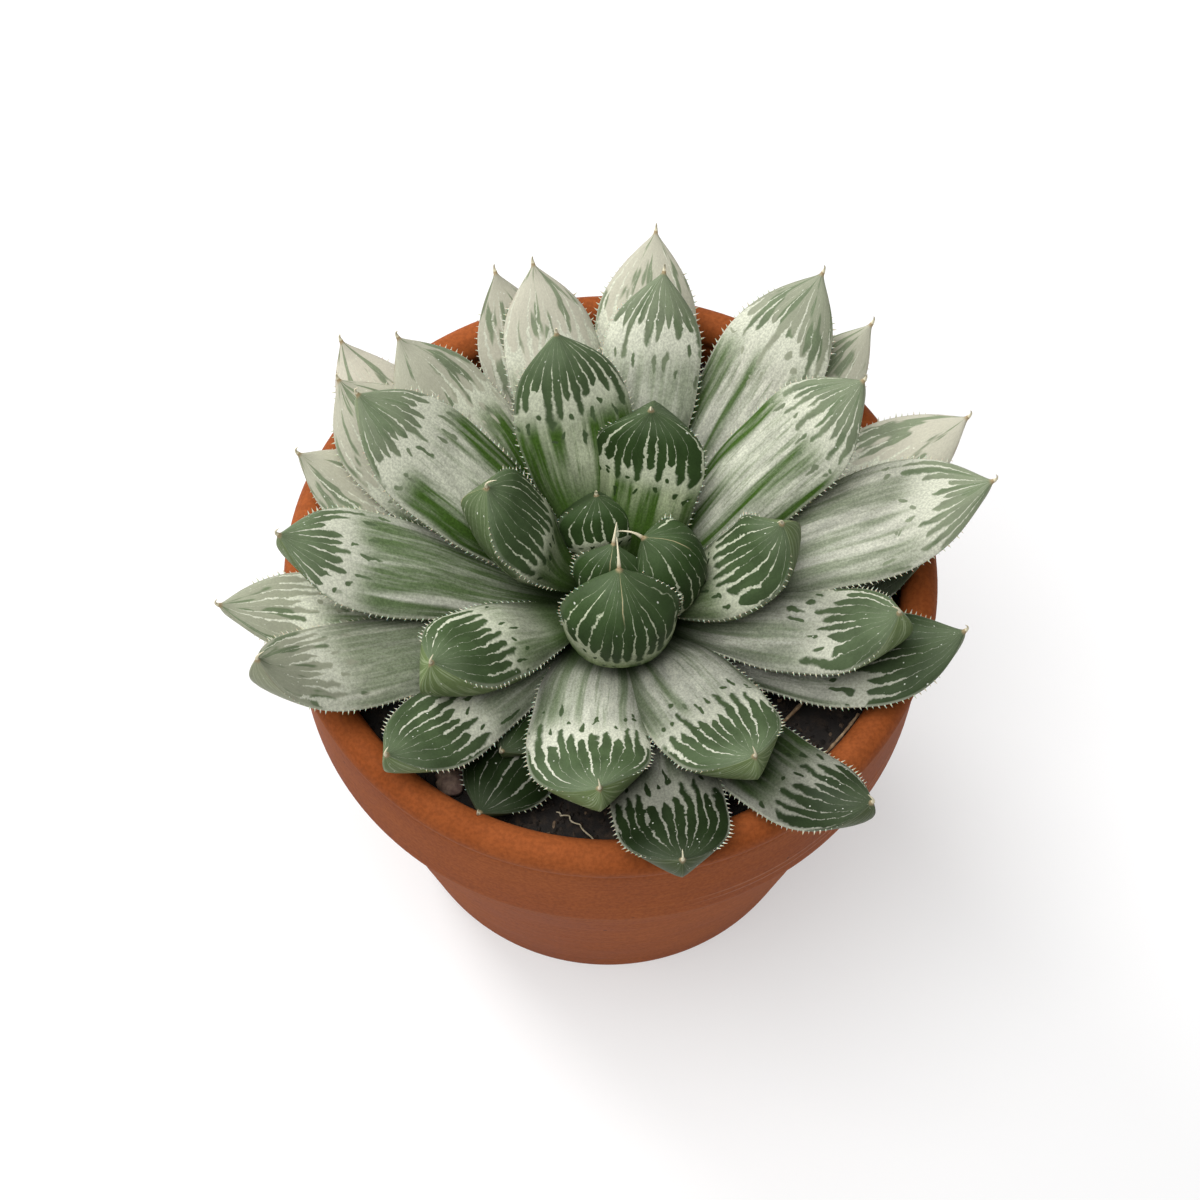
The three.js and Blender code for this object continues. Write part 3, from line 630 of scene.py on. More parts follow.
class Tissue(Sheet):
    """Draws window-leaf tissue from the attributes of the leaf's own points: leaf_mm holds the
    distance along and across in millimetres and the leaf's number; leaf_spot the same as shares,
    and 1 on the underside; leaf_look and leaf_tint hold the leaf's looks, and leaf_tone_and_shade its
    tone, mostly painted shade."""

    def __init__(self, tree, rosette):
        super().__init__(tree)
        self.rosette = rosette
        self.along, self.across, self.number = self.split(self.attribute("leaf_mm"))
        self.share, x, under = self.split(self.attribute("leaf_spot"))
        self.start, self.dark, self.blanch = self.split(self.attribute("leaf_look"))
        self.streaky, self.warm, self.ridge = self.split(self.attribute("leaf_tint"))
        # The leaf's tone, mostly painted shade on the leaves that lie under others near the pot
        self.tone = self.add("ShaderNodeAttribute", attribute_name="leaf_tone_and_shade").outputs["Fac"]
        self.under = self.fade(under, 0.35, 0.65)
        self.edge = self.math("ABSOLUTE", x)
        self.seed = self.math("MULTIPLY_ADD", self.number, 7.31, self.times(self.under, 3.7))
        self.past = self.less(self.share, self.start)
        self.jitter = self.stray(0.9, 0.7, 0.5, 5.0, 3.0)
        self.bumps = self.stray(0.2, 1.7, 1.7, 13.0, 3.0, 0.6)
        # The foot: the base of the leaf drawn dark green, partly the leaf's own green and partly painted
        # shade where the leaves crowd into the heart
        below_foot = self.less(self.share, self.times(self.warm, self.less(self.start, 0.3)))
        self.foot = self.fade(below_foot, 0.05, 0.28, 1.0, 0.0)

    def less(self, first, second):
        return self.math("SUBTRACT", first, second)

    def stretched(self, along_scale, across_scale, shift, detail=2.0, rough=0.5):
        """Noise with its own scales along and across the leaf."""
        along = self.times(self.along, along_scale)
        across = self.times(self.across, across_scale)
        place = self.vector(along, across, self.math("ADD", self.seed, shift))
        return self.noise(place, 1.0, detail, rough)

    def stray(self, size, *pattern):
        """Noise that strays to either side of nothing."""
        return self.times(self.less(self.stretched(*pattern), 0.5), size)

    def pale_share(self):
        """1 on the veins and in the field, 0 in the window between the veins."""
        m, fade, times, less = self.math, self.fade, self.times, self.less
        # Veins are numbered strips along the leaf, each with its own length, width and gaps
        sway = m("ADD", self.stray(3.0, 0.09, 0.2, 2.0), self.jitter)
        strip = m("DIVIDE", m("ADD", self.across, sway), self.rosette.vein_pitch / MM)
        vein_number = m("ROUND", strip)
        off_vein = m("ABSOLUTE", less(strip, vein_number))
        vein_key = self.vector(vein_number, m("ADD", self.number, 11.0), self.under)
        reach, breadth, broken = self.drawn(vein_key)
        vein_end = m("MULTIPLY_ADD", m("POWER", reach, 1.6), 0.66, 0.34)
        gone = m("DIVIDE", self.past, times(vein_end, less(1.0, self.start)), clamp=True)
        half = times(m("MULTIPLY_ADD", breadth, 0.1, 0.08), m("POWER", less(1.0, gone), 0.5))
        half = times(half, m("MULTIPLY_ADD", self.warm, -0.3, 1.0))
        foot_spread = times(fade(gone, 0.0, 0.35, 0.13, 0.0), less(1.0, times(self.warm, 0.8)))
        half = m("ADD", m("ADD", half, foot_spread), self.bumps)
        half = less(half, fade(gone, 0.93, 1.0, 0.0, 0.4))
        gap = times(fade(self.stretched(0.5, 0.3, 15.0), 0.6, 0.66), fade(broken, 0.3, 0.7))
        half = less(half, times(gap, fade(gone, 0.15, 0.3), 0.4))

        # Between two veins a dark finger begins, with a rounded end
        finger_key = self.vector(m("FLOOR", strip), m("ADD", self.number, 31.0), self.under)
        finger_lag, drop_lag, drop_size = self.drawn(finger_key)
        finger_start = m("ADD", self.past, times(less(finger_lag, 0.5), 0.12))
        finger_start = m("ADD", finger_start, self.stray(0.2, 0.12, 0.25, 9.0))
        finger = times(m("SQRT", m("DIVIDE", finger_start, 0.045, clamp=True)), 0.6)
        bound = m("ADD", m("MAXIMUM", half, less(0.6, finger)), times(self.bumps, 0.5))
        soft = fade(self.past, 0.0, 0.1, 0.15, 0.035)
        pale = fade(less(off_vein, bound), less(0.0, soft), soft, 1.0, 0.0)

        # A few dark drops lie in the field before each finger
        wide = m("ADD", less(0.5, off_vein), times(self.bumps, 0.6))

        def drop(lag, size, width, chance):
            centre = m("ADD", finger_start, m("MULTIPLY_ADD", lag, 0.035, 0.02 + size * 1.4))
            far = m("DIVIDE", centre, m("MULTIPLY_ADD", drop_size, size, size * 0.4))
            near = m("DIVIDE", wide, width)
            inside = fade(m("ADD", times(far, far), times(near, near)), 0.5, 1.4, 1.0, 0.0)
            return times(inside, fade(lag, chance, chance + 0.01))

        small = drop(drop_lag, 0.015, 0.24, 0.32)
        large = drop(m("FRACT", times(drop_lag, 7.0)), 0.024, 0.17, 0.6)
        drops = times(m("MAXIMUM", small, large), fade(self.dark, 0.1, 0.4))
        return times(pale, less(1.0, drops))

    def window_tint(self):
        """Dark tissue, paled towards the apex by a painted reflection of the soft lamps, and bleached in
        patches on the old leaves.
        """
        fade, times = self.fade, self.times
        tint = self.blend(self.dark, self.rosette.light_window, self.rosette.window)
        tint = self.scale(tint, fade(self.stretched(0.25, 0.4, 19.0), 0.35, 0.65, 0.88, 1.12))
        # Painted reflection: the end of the window paler, less on the warm young leaves
        coolness = self.math("SUBTRACT", 1.2, self.warm, clamp=True)
        painted_reflection = times(fade(self.share, 0.8, 1.0, 0.0, 0.5), coolness)
        tint = self.blend(painted_reflection, tint, self.rosette.light_window)
        patch = fade(self.stretched(0.1, 0.4, 21.0), 0.54, 0.6, 1.0, 0.15)
        return self.blend(times(self.blanch, patch), tint, self.rosette.bleached)

    def field_tint(self):
        """Pale tissue with its green bands and threads, cream before the window."""
        fade, times, rosette = self.fade, self.times, self.rosette
        tint = self.blend(self.warm, rosette.field, rosette.warm_field)
        bleach = times(self.blanch, fade(self.share, 0.35, 0.7, 0.0, 0.8))
        tint = self.blend(bleach, tint, rosette.bleached)
        frost = fade(self.stretched(0.2, 0.55, 25.0, 4.0, 0.6), 0.34, 0.66, 0.8, 1.09)
        tint = self.scale(tint, frost)
        bands = self.stretched(0.013, 0.24, 29.0, 3.0)
        band = fade(self.math("MULTIPLY_ADD", self.edge, 0.07, bands), 0.46, 0.57)
        band = times(band, fade(self.stretched(0.07, 1.1, 31.0, 3.0), 0.3, 0.6, 0.55, 1.0))
        thread = fade(self.stretched(0.07, 0.9, 33.0, 4.0, 0.65), 0.48, 0.7, 0.0, 0.65)
        green = times(self.math("MAXIMUM", band, thread), fade(self.past, -0.06, 0.05, 1.0, 0.0))
        green = times(green, self.math("MULTIPLY_ADD", self.streaky, 1.1, 0.05, clamp=True))
        tint = self.blend(green, tint, rosette.streak)
        cream = self.blend(times(self.warm, 0.45), rosette.vein, rosette.warm_field)
        tint = self.blend(fade(self.past, -0.12, 0.04), tint, cream)
        # Dark green at the foot, partly the leaf's own green and partly painted shade
        return self.blend(times(self.foot, 0.85), tint, rosette.streak)

    def underside_tint(self):
        """Yellow-green with short pale lines."""
        fade, times = self.fade, self.times
        lines = fade(self.stretched(0.16, 1.9, 37.0, 2.0, 0.6), 0.5, 0.6)
        lines = times(lines, fade(self.share, 0.2, 0.5))
        tint = self.blend(times(lines, 0.75), self.rosette.underside, (0.3, 0.36, 0.2))
        # Dark green at the foot, partly the leaf's own green and partly painted shade
        tint = self.blend(times(self.foot, 0.8), tint, self.rosette.streak)
        bleach = times(self.blanch, fade(self.share, 0.5, 0.8))
        return self.blend(bleach, tint, self.rosette.bleached)

    def shaded(self, tint):
        """Painted shade: darker towards the seat and along the lower margins, where the leaves crowd
        together, and scaled by the leaf's tone, which is mostly painted shade too.
        """
        low_part = self.fade(self.share, 0.35, 0.62, 1.0, 0.0)
        flank_shade = self.times(self.fade(self.edge, 0.5, 1.0, 0.0, 0.5), low_part)
        # Deep painted shade at the seat, in the heart of the rosette
        seat = self.fade(self.share, 0.02, 0.27, 0.25, 1.0)
        return self.scale(tint, self.times(self.tone, seat, self.less(1.0, flank_shade)))

    def marked(self, tint, pale):
        """With white dots, pale margins, the tan line, and the brown or horny end."""
        fade, times, share = self.fade, self.times, self.share
        off_middle, chance = self.cells(self.vector(self.along, self.across, self.seed), 0.62)
        dot = times(fade(off_middle, 0.06, 0.1, 1.0, 0.0), fade(chance, 0.4, 0.41))
        dot = times(dot, self.math("SUBTRACT", 0.85, pale, clamp=True))
        tint = self.blend(dot, tint, (0.7, 0.72, 0.62))
        margin = times(fade(self.edge, 0.955, 0.99), fade(share, 0.15, 0.3, 0.0, 0.45))
        coolness = self.math("SUBTRACT", 1.0, self.warm, clamp=True)
        margin = times(margin, coolness, fade(share, 0.75, 0.9, 1.0, 0.1))
        tint = self.blend(margin, tint, self.rosette.vein)
        off_ridge = self.math("ABSOLUTE", self.math("ADD", self.across, self.jitter))
        line = times(fade(off_ridge, 0.06, 0.2, 1.0, 0.0), fade(share, 0.82, 0.92))
        line = times(line, self.ridge, self.under)
        tint = self.blend(line, tint, (0.42, 0.36, 0.2))
        burnt = times(fade(self.edge, 0.93, 1.0), fade(share, 0.84, 0.93), self.blanch)
        burnt = times(burnt, fade(self.stretched(0.6, 0.6, 41.0), 0.4, 0.6, 0.0, 0.6))
        tint = self.blend(burnt, tint, (0.16, 0.08, 0.05))
        tint = self.blend(fade(share, 0.985, 1.0), tint, (0.36, 0.27, 0.15))
        return self.blend(fade(share, 1.0, 1.02), tint, self.rosette.bristle)


def leaf_material(rosette):
    """Window-leaf tissue. The young leaves have it on their underside too."""
    made, _, shader = new_material("leaf_tissue")
    leaf = Tissue(made.node_tree, rosette)
    fade, times = leaf.fade, leaf.times
    pale = leaf.pale_share()
    tint = leaf.blend(pale, leaf.window_tint(), leaf.field_tint())
    old_underside = times(leaf.under, fade(leaf.warm, 0.35, 0.75, 1.0, 0.0))
    tint = leaf.blend(old_underside, tint, leaf.underside_tint())
    tint = leaf.marked(leaf.shaded(tint), pale)
    sparkle = fade(leaf.stretched(2.4, 2.8, 45.0, 2.0, 0.75), 0.3, 0.7, -1.0, 1.0)
    sparkle = leaf.math("MULTIPLY_ADD", sparkle, leaf.math("MULTIPLY_ADD", pale, 0.13, 0.07), 1.0)
    furrows = times(leaf.stretched(0.1, 1.6, 49.0, 2.0), fade(leaf.share, 0.6, 0.9, 0.9, 0.0))
    height = leaf.math("ADD", furrows, leaf.stray(0.4, 3.5, 3.5, 53.0, 1.0, 0.6))
    looks = {
        "Base Color": leaf.scale(tint, sparkle),
        "Roughness": fade(pale, 0.0, 1.0, 0.46, 0.58),
        "Specular IOR Level": 0.07,
        "Normal": leaf.bump(height, 0.6, 0.00015),
    }
    leaf.set(shader, looks)
    return made


def bristle_material():
    made, sheet, shader = new_material("tooth_horn")
    tone = sheet.fade(sheet.noise(sheet.place(), 900.0, 2.0), 0.3, 0.7)
    looks = {
        "Base Color": sheet.blend(tone, (0.6, 0.63, 0.5), (0.5, 0.5, 0.36)),
        "Roughness": 0.4,
        "Subsurface Weight": 0.3,
        "Subsurface Scale": 0.0004,
    }
    sheet.set(shader, looks)
    return made


def stem_material():
    """Fleshy green, brown where it meets the mix, and with painted shade, dark green, between the heart
    leaves.
    """
    made, sheet, shader = new_material("stem_tissue")
    place = sheet.place()
    height = sheet.split(place)[2]
    cloud = sheet.noise(place, 260.0, 4.0, 0.6)
    tint = sheet.blend(sheet.fade(cloud, 0.35, 0.7), (0.2, 0.25, 0.08), (0.42, 0.44, 0.26))
    tint = sheet.blend(sheet.fade(height, 0.068, 0.072, 1.0, 0.0), tint, (0.36, 0.26, 0.15))
    # Painted shade: dark green where the stem rises between the heart leaves
    tint = sheet.blend(sheet.fade(height, 0.075, 0.079), tint, (0.045, 0.09, 0.02))
    skin = sheet.bump(cloud, 0.5, 0.0003)
    sheet.set(shader, {"Base Color": tint, "Roughness": 0.6, "Normal": skin})
    return made


def dry_material(name, tint, pale, scale):
    """Dry plant matter: long fibres or wrinkles in two tones."""
    made, sheet, shader = new_material(name)
    place = sheet.place()
    cloud = sheet.noise(place, scale, 4.0, 0.65)
    fine = sheet.noise(place, scale * 6.0, 2.0, 0.6)
    wrinkles = sheet.bump(sheet.math("MULTIPLY_ADD", fine, 0.5, cloud), 0.6, 0.0003)
    tint = sheet.blend(sheet.fade(cloud, 0.4, 0.68), tint, pale)
    sheet.set(shader, {"Base Color": tint, "Roughness": 0.75, "Normal": wrinkles})
    return made


def floor_material(glow):
    made, sheet, shader = new_material("pale_floor")
    tone = sheet.fade(sheet.noise(sheet.place(), 3.0, 3.0), 0.3, 0.7)
    looks = {
        "Base Color": sheet.blend(tone, (0.47, 0.47, 0.47), (0.5, 0.5, 0.5)),
        "Roughness": 0.9,
        "Emission Color": (1.0, 1.0, 1.0),
        "Emission Strength": glow,
    }
    sheet.set(shader, looks)
    return made


def smooth_share(t):
    t = np.clip(t, 0.0, 1.0)
    return t * t * (3 - 2 * t)


def width_share(u, neck):
    grown = np.sin(np.pi / 2 * np.clip(u / WIDEST_AT, 0, 1)) ** neck
    past = np.clip((u - WIDEST_AT) / (1 - WIDEST_AT), 0, 1)
    return np.where(
        u < WIDEST_AT, SEAT_WIDTH_SHARE + (1 - SEAT_WIDTH_SHARE) * grown, (1 - past**2.5) ** 1.15
    )


def depth_share(u):
    grown = np.sin(np.pi / 2 * np.clip(u / THICKEST_AT, 0, 1))
    past = np.clip((u - THICKEST_AT) / (1 - THICKEST_AT), 0, 1)
    return np.where(
        u < THICKEST_AT, SEAT_DEPTH_SHARE + (1 - SEAT_DEPTH_SHARE) * grown, np.sqrt(1 - past**2.6)
    )


def leaf_midline(name, shares):
    """Points and the along, side and up directions of a leaf's midline at the given shares."""
    tier, turn, rise, bend, flick, swing, roll, size = LEAVES[name][:8]
    tier_seat = (LOWEST_SEAT[0] + TIER_STEP[0] * tier, LOWEST_SEAT[1] + TIER_STEP[1] * tier)
    radius, height = HEART_SEATS.get(name, tier_seat)

    def way(u):
        flicked = np.clip((u - FLICK_START) / (1 - FLICK_START), 0, 1) ** 2
        slope = np.radians(rise + bend * u + flick * flicked)
        heading = np.radians(turn + swing * u * u)
        flat = np.cos(slope)
        return heading, np.stack([np.cos(heading) * flat, np.sin(heading) * flat, np.sin(slope)], -1)

    steps = 400
    fine = np.linspace(0, 1, steps + 1)
    _, strides = way((fine[1:] + fine[:-1]) / 2)
    path = np.vstack([np.zeros(3), np.cumsum(strides * size / steps, 0)])
    facing = math.radians(turn)
    east, north = radius * math.cos(facing), radius * math.sin(facing)
    path += (ROSETTE_AXIS[0] + east, ROSETTE_AXIS[1] + north, height)
    points = np.stack([np.interp(shares, fine, path[:, k]) for k in range(3)], -1)
    heading, ahead = way(shares)
    level = np.stack([-np.sin(heading), np.cos(heading), np.zeros_like(heading)], -1)
    above = np.cross(ahead, level)
    side = level * math.cos(math.radians(roll)) + above * math.sin(math.radians(roll))
    return points, ahead, side, np.cross(ahead, side)


def ring_section():
    """Where a ring's points lie across the leaf, from margin to margin and back, and how high
    they would lie on a round bar."""
    over = np.cos(np.pi * np.arange(UPPER) / UPPER)
    under = -np.cos(np.pi * np.arange(LOWER) / LOWER)
    x = np.concatenate([over, under])
    above = np.where(np.arange(COLUMNS) < UPPER, 1.0, -1.0)
    return x, above * np.sqrt(np.clip(1 - x * x, 0, 1))


def ring_faces(rings, columns):
    """Faces between closed rings of points."""
    faces = []
    for start in range(0, (rings - 1) * columns, columns):
        for j in range(columns):
            k = (j + 1) % columns
            faces.append((start + j, start + k, start + columns + k, start + columns + j))
    return faces


def blade_rings(name, shares, midline, phase, awn_radius):
    """Rings of the blade: swollen above, keeled below, a little wavy, dented and rippled."""
    points, _, side, up = midline
    width, thick = LEAVES[name][8:10]
    thick = thick or TIER_THICKNESS[0] + TIER_THICKNESS[1] * LEAVES[name][0]
    tip = awn_radius * smooth_share((shares - 0.93) / 0.07)
    neck = WIDE_NECKS.get(name, NECK_POWER)
    early = neck / NECK_POWER
    narrow = width_share(shares, neck)
    wavy = 1 + 0.022 * np.sin(9 * shares + phase[0]) + 0.012 * np.sin(23 * shares + phase[1])
    half = np.hypot(width / 2 * narrow * wavy, tip)
    depth = thick * depth_share(shares)
    swell = (SEAT_HOLLOW + SWELLING) * smooth_share((shares - 0.12 * early) / (0.4 * early)) - SEAT_HOLLOW
    swell = swell * (1 - (1 - narrow) ** CROWN_TAPER)
    belly = depth * (1 - (1 - narrow) ** BELLY_TAPER)
    keel = (HEART_KEEL if name in HEART_SEATS else 1.0) * smooth_share((shares - 0.35) / 0.6)

    x, round_height = ring_section()
    u, xx = shares[:, None], x[None, :]
    calm_margins = 1 - xx**4
    top = (depth * swell)[:, None] * (1 - xx * xx) ** SHOULDER_POWER
    ripple = 0.05 * np.sin(xx * width * 1.8 + phase[2] + 1.2 * np.sin(5 * u + phase[3]))
    dent = 0.22 * np.sin(6 * u + phase[4]) * np.sin(2.2 * xx + phase[5])
    top += (ripple + dent) * calm_margins * np.clip(narrow, 0, 1)[:, None]
    bow = (1 - np.abs(xx) ** (2.2 - 0.95 * keel)[:, None]) ** (1 / (1.8 - 0.75 * keel))[:, None]
    low = -belly[:, None] * bow
    low += 0.15 * np.sin(7 * u + 4 * xx + phase[6]) * calm_margins * narrow[:, None]
    upper = np.arange(COLUMNS) < UPPER
    height = np.where(upper, top, low) + tip[:, None] * round_height
    across = side[:, None, :] * (half[:, None] * xx)[..., None]
    return points[:, None, :] + across + up[:, None, :] * height[..., None]


def awn_rings(midline, awn, radius):
    """Rings of the bristle that curves up from the end of the blade, and its point."""
    end, ahead, side, up = (values[-1] for values in midline)
    bend_at = end + ahead * 0.55 * awn
    tip_at = end + ahead * 0.65 * awn + up * 0.75 * awn
    x, round_height = ring_section()
    rings = []
    for k in range(1, AWN_RINGS + 1):
        t = k / AWN_RINGS
        middle = (1 - t) ** 2 * end + 2 * t * (1 - t) * bend_at + t * t * tip_at
        forward = (1 - t) * (bend_at - end) + t * (tip_at - bend_at)
        forward /= np.linalg.norm(forward)
        over = np.cross(forward, side)
        thickness = radius * (1 - t) ** 0.8 * (1 - 0.35 * math.sin(math.pi * t)) + 0.035
        rings.append(middle + thickness * (x[:, None] * side + round_height[:, None] * over))
    return np.array(rings), tip_at + up * 0.1


def leaf_faces():
    """Faces of a leaf, closed at its seat and at the point of its bristle."""
    faces = ring_faces(RINGS, COLUMNS)
    seat, point, last = RINGS * COLUMNS, RINGS * COLUMNS + 1, (RINGS - 1) * COLUMNS
    for j in range(COLUMNS):
        k = (j + 1) % COLUMNS
        faces.append((seat, k, j))
        faces.append((last + j, last + k, point))
    return faces


def leaf_spots(shares):
    """For every point of a leaf its shares along and across, and 1 on the underside."""
    under = np.where(np.arange(COLUMNS) < UPPER, 0.0, 1.0)
    under[list(MARGINS)] = 0.5
    along = np.concatenate([shares, 1 + AWN_SHARE * np.arange(1, AWN_RINGS + 1) / AWN_RINGS])
    row, column = np.meshgrid(along, ring_section()[0], indexing="ij")
    spots = np.stack([row, column, np.broadcast_to(under, row.shape)], -1)
    return np.vstack([spots.reshape(-1, 3), [[0, 0, 0.5], [1 + AWN_SHARE, 0, 0.5]]])


def tooth_values(shares, ahead, side):
    """For every point of a leaf the way that a tooth there leans, and how large it grows."""
    way = np.zeros((RINGS, COLUMNS, 3))
    strength = np.zeros((RINGS, COLUMNS))
    for margin, outward in zip(MARGINS, (side, -side)):
        way[:BLADE_RINGS, margin] = outward + 0.55 * ahead
        grown = smooth_share((shares - 0.14) / 0.12) * smooth_share((0.93 - shares) / 0.07)
        strength[:BLADE_RINGS, margin] = grown
    ends = np.zeros((2, 3))
    return np.vstack([way.reshape(-1, 3), ends]), np.concatenate([strength.ravel(), ends[:, 0]])


def leaf_blade(name, index, rosette):
    """One leaf as points and the values that its material and its teeth read."""
    size, width, _, awn = LEAVES[name][7:]
    phase = np.random.default_rng(100 + index).uniform(0, math.tau, 7)
    awn_radius = rosette.awn_radius / MM
    shares = 1 - (1 - np.linspace(0, 1, BLADE_RINGS)) ** 1.35
    midline = leaf_midline(name, shares)
    points, ahead, side, _ = midline
    body = blade_rings(name, shares, midline, phase, awn_radius)
    bristle, point = awn_rings(midline, awn, awn_radius)
    seat = points[:1] - ahead[:1] * 0.05
    vertices = np.vstack([body.reshape(-1, 3), bristle.reshape(-1, 3), seat, [point]])
    spots = leaf_spots(shares)
    way, strength = tooth_values(shares, ahead, side)
    values = {
        "leaf_spot": spots,
        "leaf_mm": spots * (size, width / 2, 0) + (0, 0, index),
        "tooth_way": way,
        "tooth_size": strength,
    }
    return vertices, values


def point_values(mesh, name, values):
    """Stores a number or a vector for every point of a mesh."""
    values = np.asarray(values, np.float32)
    kind, key = ("FLOAT", "value") if values.ndim == 1 else ("FLOAT_VECTOR", "vector")
    made = mesh.attributes.new(name, kind, "POINT")
    made.data.foreach_set(key, values.ravel())


def build_leaf(name, index, rosette, tissue, horn, teeth_tree, seed):
    """One leaf, with its looks stored on its points and teeth grown along its margins."""
    vertices, values = leaf_blade(name, index, rosette)
    piece = mesh_object(name + "_blade", vertices, leaf_faces(), tissue)
    mesh = piece.data
    look = LEAF_LOOKS.get(name, RING_LOOKS[name.split("_")[0]])
    count = len(mesh.vertices)
    values["leaf_look"] = np.tile(look[:3], (count, 1))
    values["leaf_tint"] = np.tile(look[3:], (count, 1))
    values["leaf_tone_and_shade"] = np.full(count, LEAF_TONES_AND_SHADE.get(name, 1.0))
    for key, value in values.items():
        point_values(mesh, key, value)
    margins = {(i * COLUMNS + j, (i + 1) * COLUMNS + j) for i in TOOTHED_RINGS for j in MARGINS}
    marked = [tuple(sorted(edge.vertices)) in margins for edge in mesh.edges]
    mesh.attributes.new("margin", "BOOLEAN", "EDGE").data.foreach_set("value", marked)
    sizes = {
        "Spacing": rosette.tooth_spacing,
        "Length": rosette.tooth_length,
        "Width": rosette.tooth_width,
        "Seed": seed + index,
        "Material": horn,
    }
    grow_with(piece, teeth_tree, sizes)
    for extra in ("margin", "tooth_way", "tooth_size", "tooth"):
        if extra in piece.data.attributes:
            piece.data.attributes.remove(piece.data.attributes[extra])
    face_outwards(piece)
    keep(piece, name)


def pot_profile(pot):
    """Outline of the wall as (radius, height), from the drain hole round the outside and back.
    The small steps between points round its edges."""
    rim, top = pot.rim_radius, pot.height
    lip_low = top - pot.lip_height
    curve = pot.lip_round
    lip = []
    for turn in np.radians(np.linspace(-25, 205, 15)).tolist():
        lip.append((rim - curve + curve * math.cos(turn), top - curve + curve * math.sin(turn)))
    return [
        # Drain hole and foot
        (pot.drain_radius, pot.floor),
        (pot.drain_radius, 0.001),
        (pot.drain_radius + 0.0006, 0.0),
        (pot.base_radius - 0.001, 0.0),
        (pot.base_radius - 0.0003, 0.0002),
        (pot.base_radius, 0.001),
        # Step under the collar
        (pot.body_top_radius, pot.collar_foot - 0.0008),
        (pot.body_top_radius + 0.0004, pot.collar_foot - 0.0003),
        (pot.collar_foot_radius - 0.0006, pot.collar_foot),
        (pot.collar_foot_radius - 0.0001, pot.collar_foot + 0.0003),
        (pot.collar_foot_radius + 0.0001, pot.collar_foot + 0.0012),
        # Groove under the lip, and the lip
        (rim - 0.00085, lip_low - 0.001),
        (rim - 0.0009, lip_low),
        (rim - 0.0005, lip_low + 0.0007),
        *lip,
        # Inside of the wall and floor
        (rim - pot.lip_width, lip_low),
        (pot.collar_foot_radius - pot.wall, pot.collar_foot),
        (pot.base_radius - pot.wall, pot.floor + 0.0015),
        (pot.base_radius - pot.wall - 0.002, pot.floor),
        (pot.drain_radius, pot.floor),
    ]


class HAWORTHIA_OT_pot(bpy.types.Operator):
    """Turns the clay pot with its rounded lip, groove, collar and foot"""

    bl_idname = "haworthia.pot"
    bl_label = "Clay Pot"

    def execute(self, context):
        pot = context.scene.haworthia_pot
        outline = bpy.data.curves.new("pot_outline", "CURVE")
        outline.dimensions = "3D"
        spots = pot_profile(pot)
        spline = outline.splines.new("POLY")
        spline.points.add(len(spots) - 1)
        for point, (radius, height) in zip(spline.points, spots):
            point.co = (radius, 0.0, height, 1.0)
        shape = bpy.data.objects.new("pot_outline", outline)
        context.scene.collection.objects.link(shape)
        sizes = {
            "Sides": 161,
            "Rows": 420,
            "Ridge height": pot.ridge_height,
            "Out of round": 0.0012,
            "Material": clay_material(pot),
        }
        mesh = grown_mesh(shape, turned_clay_tree(), sizes)
        bpy.data.objects.remove(shape)
        piece = bpy.data.objects.new("clay_pot", mesh)
        mesh.name = "clay_pot"
        context.scene.collection.objects.link(piece)
        face_outwards(piece)
        mesh.shade_smooth()
        keep(piece, "pot")
        return {"FINISHED"}


def mix_bed(high):
    """The bed of mix with its lumpy top, as (vertices, faces)."""
    low = SOIL_LOW.z / MM
    outer = SOIL_HIGH.x / MM - BED_GAP
    sides = BED_SIDES

    def lumpy(px, py):
        spot = Vector((px, py, 0.0))
        coarse = noise.noise(spot * 0.11) * 0.9 + noise.noise(spot * 0.45) * 0.5
        return high + coarse + noise.noise(spot * 1.3) * 0.35

    vertices, faces = [(0.0, 0.0, lumpy(0.0, 0.0))], []
    profile = [(outer * (k + 1) / BED_RINGS, None) for k in range(BED_RINGS)]
    profile += [*BED_SIDE, (BED_FOOT_RADIUS, low)]
    for radius, level in profile:
        for j in range(sides):
            turn = math.tau * j / sides
            px, py = radius * math.cos(turn), radius * math.sin(turn)
            vertices.append((px, py, lumpy(px, py) if level is None else level))
    for j in range(sides):
        faces.append((0, 1 + j, 1 + (j + 1) % sides))
    for i in range(len(profile) - 1):
        for j in range(sides):
            k = (j + 1) % sides
            a, b = 1 + i * sides, 1 + (i + 1) * sides
            faces.append((a + j, b + j, b + k, a + k))
    last = 1 + (len(profile) - 1) * sides
    vertices.append((0.0, 0.0, low))
    for j in range(sides):
        faces.append((len(vertices) - 1, last + (j + 1) % sides, last + j))
    return vertices, faces


class HAWORTHIA_OT_potting_mix(bpy.types.Operator):
    """Fills the pot with dark crumbly mix and scatters loose crumbs on it"""

    bl_idname = "haworthia.potting_mix"
    bl_label = "Potting Mix"

    def execute(self, context):
        soil = context.scene.haworthia_soil
        high = soil.level / MM
        vertices, faces = mix_bed(high)
        bed = mesh_object("potting_mix", vertices, faces, mix_material(soil, False))
        face_outwards(bed)
        heights = [min(vertices[i][2] for i in face.vertices) for face in bed.data.polygons]
        top = bed.data.attributes.new("top", "BOOLEAN", "FACE")
        top.data.foreach_set("value", [height > high - BED_TOP_DEPTH for height in heights])
        crumbs = bpy.data.objects.new("loose_crumbs", bed.data.copy())
        context.scene.collection.objects.link(crumbs)
        sizes = {
            "Density": soil.density,
            "Size": soil.crumb,
            "Seed": context.scene.haworthia_stage.seed,
            "Material": mix_material(soil, True),
        }
        grow_with(crumbs, loose_crumbs_tree(), sizes)
        crumbs.data.shade_flat()
        keep(bed, "soil")
        keep(crumbs, None)
        return {"FINISHED"}


